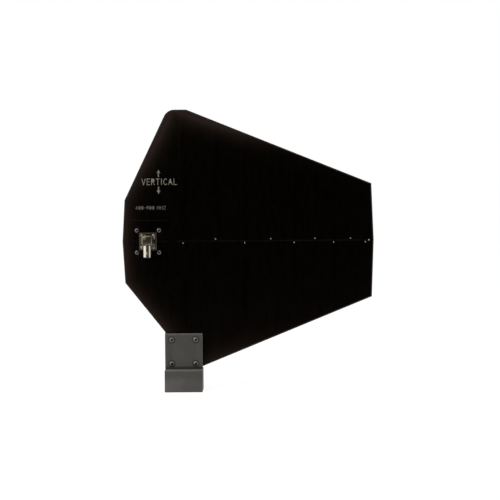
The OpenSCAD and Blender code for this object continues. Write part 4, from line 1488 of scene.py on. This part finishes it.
class ANTENNA_OT_feed_line(Operator):
    """Builds the rigid coaxial feed line and the solder that holds it to the rear boom"""

    bl_idname = "antenna.feed_line"
    bl_label = "Feed line"

    def execute(self, context):
        settings = context.scene.antenna.rear
        copper = copper_finish(settings)
        solder = solder_finish("soft_solder", settings.solder, settings.solder_stain)
        lowest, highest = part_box("feed_line_jacket")
        radius = (highest.z - lowest.z) / 2
        draw = random.Random(2)
        bm = bmesh.new()
        place = pointing((1, 0, 0), (lowest.x, middle("feed_line_jacket").y, BOOM_Z))
        self.jacket(bm, place, radius, highest.x - lowest.x, settings, draw)
        tidy(bm)
        new_piece("copper_jacket", bm, [copper], ["feed_line_jacket"])
        bm = bmesh.new()
        spans = {(round(joint.low.x, 5), round(joint.high.x, 5)) for joint in solids("feed_line_solder")}
        for start, end in sorted(spans):
            self.fillet(bm, start, end, radius, settings, draw)
        tidy(bm)
        new_piece("jacket_joints", bm, [solder], ["feed_line_solder"], sharp=math.radians(60))
        finish_node("feed_line_dielectric", bpy.data.materials["white_fluoropolymer"])
        finish_node("feed_line_core", copper)
        finish_node("tail_solder", solder)
        return {"FINISHED"}

    def jacket(self, bm, place, radius, long, settings, draw):
        """The copper tube, slightly uneven from its bending straight."""
        inner = radius - settings.jacket_wall
        edge = 0.05 * MM
        rings = 60
        profile = [(inner, 0), (radius - edge, 0), (radius, edge)]
        for i in range(1, rings):
            profile.append((radius - draw.uniform(0, settings.dents), long * i / rings))
        profile += [(radius, long - edge), (radius - edge, long), (inner, long)]
        turned(bm, profile, place, 40, closed=True)

    def fillet(self, bm, start, end, radius, settings, draw):
        """A smooth solder joint that climbs both sides of the jacket and thins out at its ends."""
        steps, sides = 22, 10
        wide = settings.joint_half * draw.uniform(0.9, 1.0)
        tall = settings.joint_height * draw.uniform(0.92, 1.0)
        skew = draw.uniform(-0.12, 0.12)
        covered = radius * 0.97
        sunk = 0.01 * MM
        seat = COPPER_REAR - sunk
        top, base = [], []
        for i in range(steps + 1):
            u = 2 * i / steps - 1
            x = (start + end) / 2 + (end - start) / 2 * u
            full = math.sqrt(max(0, 1 - abs(u) ** 3.2))
            ridge = tall * math.sqrt(max(0, 1 - abs(u) ** 4))
            reach = radius + (wide - radius) * (0.15 + 0.85 * full) * (1 + skew * u)
            places = [reach * (k / sides) for k in range(-sides, sides + 1)]
            falls = [max(0, (abs(z) - covered) / (reach - covered)) for z in places]
            rises = [ridge * (1 - fall) ** 1.9 for fall in falls]
            skin = zip([seat + rise for rise in rises], places)
            top.append([bm.verts.new((x, y, BOOM_Z + z)) for y, z in skin])
            base.append([bm.verts.new((x, seat - sunk, BOOM_Z + z)) for z in places])
        for i in range(steps):
            self.strip(bm, top[i], top[i + 1])
            self.strip(bm, base[i + 1], base[i])
        self.strip(bm, [row[0] for row in top], [row[0] for row in base])
        self.strip(bm, [row[-1] for row in top], [row[-1] for row in base])
        self.strip(bm, top[0], base[0])
        self.strip(bm, top[-1], base[-1])

    def strip(self, bm, a, b):
        """Faces between two open rows of points."""
        for i in range(len(a) - 1):
            bm.faces.new((a[i], b[i], b[i + 1], a[i + 1]))


class ANTENNA_OT_stage(Operator):
    """Sets up the floor, the white surroundings, the lamp and the camera"""

    bl_idname = "antenna.stage"
    bl_label = "Stage"

    def execute(self, context):
        settings = context.scene.antenna.stage
        self.floor(context, settings)
        self.surroundings(context, settings)
        self.lamp(context, settings)
        self.camera(context, settings)
        context.scene.view_settings.view_transform = "Standard"
        return {"FINISHED"}

    def floor(self, context, settings):
        """A pale floor, which the camera sees as white with the antenna's shadow on it."""
        bm = bmesh.new()
        bmesh.ops.create_grid(bm, x_segments=8, y_segments=8, size=settings.floor_half)
        bmesh.ops.translate(bm, verts=bm.verts, vec=(0, settings.floor_half - settings.floor_front, 0))
        mesh = bpy.data.meshes.new("floor")
        bm.to_mesh(mesh)
        bm.free()
        floor = bpy.data.objects.new("floor", mesh)
        floor.location.z = settings.floor_z
        context.scene.collection.objects.link(floor)
        material = bpy.data.materials.new("pale_floor")
        material.use_nodes = True
        mesh.materials.append(material)
        material.node_tree.nodes.clear()
        nodes = Nodes(material.node_tree)
        pale = nodes.add("ShaderNodeBsdfDiffuse")
        nodes.put((*settings.floor_tone, 1), pale.inputs["Color"])
        faint = nodes.add("ShaderNodeBsdfDiffuse")
        nodes.put((0.2, 0.2, 0.2, 1), faint.inputs["Color"])
        glow = nodes.add("ShaderNodeEmission")
        nodes.put(0.86, glow.inputs["Strength"])
        seen = nodes.add("ShaderNodeAddShader")
        nodes.put(faint.outputs[0], seen.inputs[0])
        nodes.put(glow.outputs[0], seen.inputs[1])
        out = nodes.add("ShaderNodeOutputMaterial")
        nodes.put(nodes.mixed_shader(nodes.direct_ray(), pale, seen), out.inputs["Surface"])

    def surroundings(self, context, settings):
        """White all round for the camera. Other rays see white walls, a ceiling and a dark gap in front."""
        world = bpy.data.worlds.new("white_tent")
        context.scene.world = world
        world.use_nodes = True
        world.node_tree.nodes.clear()
        nodes = Nodes(world.node_tree, "Generated")
        backwards = nodes.math("MULTIPLY", nodes.coordinate("Y"), -1.0)
        turn = nodes.math("ARCTAN2", nodes.coordinate("X"), backwards)
        other_turn = nodes.math("MULTIPLY", turn, -1.0)
        left = nodes.ranged(other_turn, settings.left_from, settings.left_full, 0, settings.left_wall)
        right = nodes.ranged(turn, settings.right_from, settings.right_full, 0, settings.right_wall)
        ceiling = (math.sin(settings.ceiling_from), math.sin(settings.ceiling_full))
        above = nodes.ranged(nodes.coordinate("Z"), *ceiling, 0, settings.ceiling)
        shade = nodes.add("ShaderNodeBackground")
        nodes.put(nodes.math("MAXIMUM", left, right, above, settings.front_gap), shade.inputs["Strength"])
        white = nodes.add("ShaderNodeBackground")
        nodes.put((1, 1, 1, 1), white.inputs["Color"])
        behind = nodes.math("GREATER_THAN", nodes.coordinate("Y"), 0.0)
        out = nodes.add("ShaderNodeOutputWorld")
        nodes.put(nodes.mixed_shader(nodes.direct_ray(behind), shade, white), out.inputs["Surface"])

    def lamp(self, context, settings):
        data = bpy.data.lights.new("key_lamp", "AREA")
        data.shape = "RECTANGLE"
        data.size = settings.key_width
        data.size_y = settings.key_height
        data.energy = settings.key
        data.color = settings.key_tone
        lamp = bpy.data.objects.new("key_lamp", data)
        lamp.location = settings.key_place
        aim = Vector(settings.key_aim) - lamp.location
        lamp.rotation_euler = aim.to_track_quat("-Z", "Y").to_euler()
        context.scene.collection.objects.link(lamp)

    def camera(self, context, settings):
        data = bpy.data.cameras.new("camera")
        data.sensor_width = settings.sensor
        data.lens = settings.sensor * settings.distance / settings.view_width
        data.clip_start = 0.01
        data.clip_end = 50
        camera = bpy.data.objects.new("camera", data)
        aim = Matrix.Translation((settings.aim_x, BOARD_FRONT, settings.aim_z))
        look = Matrix.Rotation(math.pi / 2 - settings.tilt, 4, "X")
        back = Matrix.Translation((0, 0, settings.distance))
        camera.matrix_world = aim @ look @ back @ Matrix.Rotation(settings.roll, 4, "Z")
        context.scene.collection.objects.link(camera)
        context.scene.camera = camera


OPERATORS = (
    ANTENNA_OT_board,
    ANTENNA_OT_copper,
    ANTENNA_OT_boom_joints,
    ANTENNA_OT_lettering,
    ANTENNA_OT_bracket,
    ANTENNA_OT_bracket_fasteners,
    ANTENNA_OT_jack,
    ANTENNA_OT_jack_fasteners,
    ANTENNA_OT_cover,
    ANTENNA_OT_feed_line,
    ANTENNA_OT_stage,
)


class ANTENNA_PT_panel(Panel):
    """Lists the antenna's pieces and their sizes"""

    bl_idname = "ANTENNA_PT_panel"
    bl_label = "Log Periodic Antenna"
    bl_space_type = "VIEW_3D"
    bl_region_type = "UI"
    bl_category = "Antenna"

    def draw(self, context):
        settings = context.scene.antenna
        for operator in OPERATORS:
            self.layout.operator(operator.bl_idname)
        for group in AntennaSettings.__annotations__:
            box = self.layout.box()
            for name in getattr(settings, group).__annotations__:
                box.prop(getattr(settings, group), name)


CLASSES = (
    CoatingSettings,
    LetteringSettings,
    BracketSettings,
    FastenerSettings,
    JackSettings,
    RearSettings,
    StageSettings,
    AntennaSettings,
    *OPERATORS,
    ANTENNA_PT_panel,
)


def register():
    for item in CLASSES:
        bpy.utils.register_class(item)
    bpy.types.Scene.antenna = PointerProperty(type=AntennaSettings)


def unregister():
    del bpy.types.Scene.antenna
    for item in reversed(CLASSES):
        bpy.utils.unregister_class(item)


def main():
    register()
    for operator in OPERATORS:
        group, action = operator.bl_idname.split(".")
        getattr(getattr(bpy.ops, group), action)()


if __name__ == "__main__":
    main()
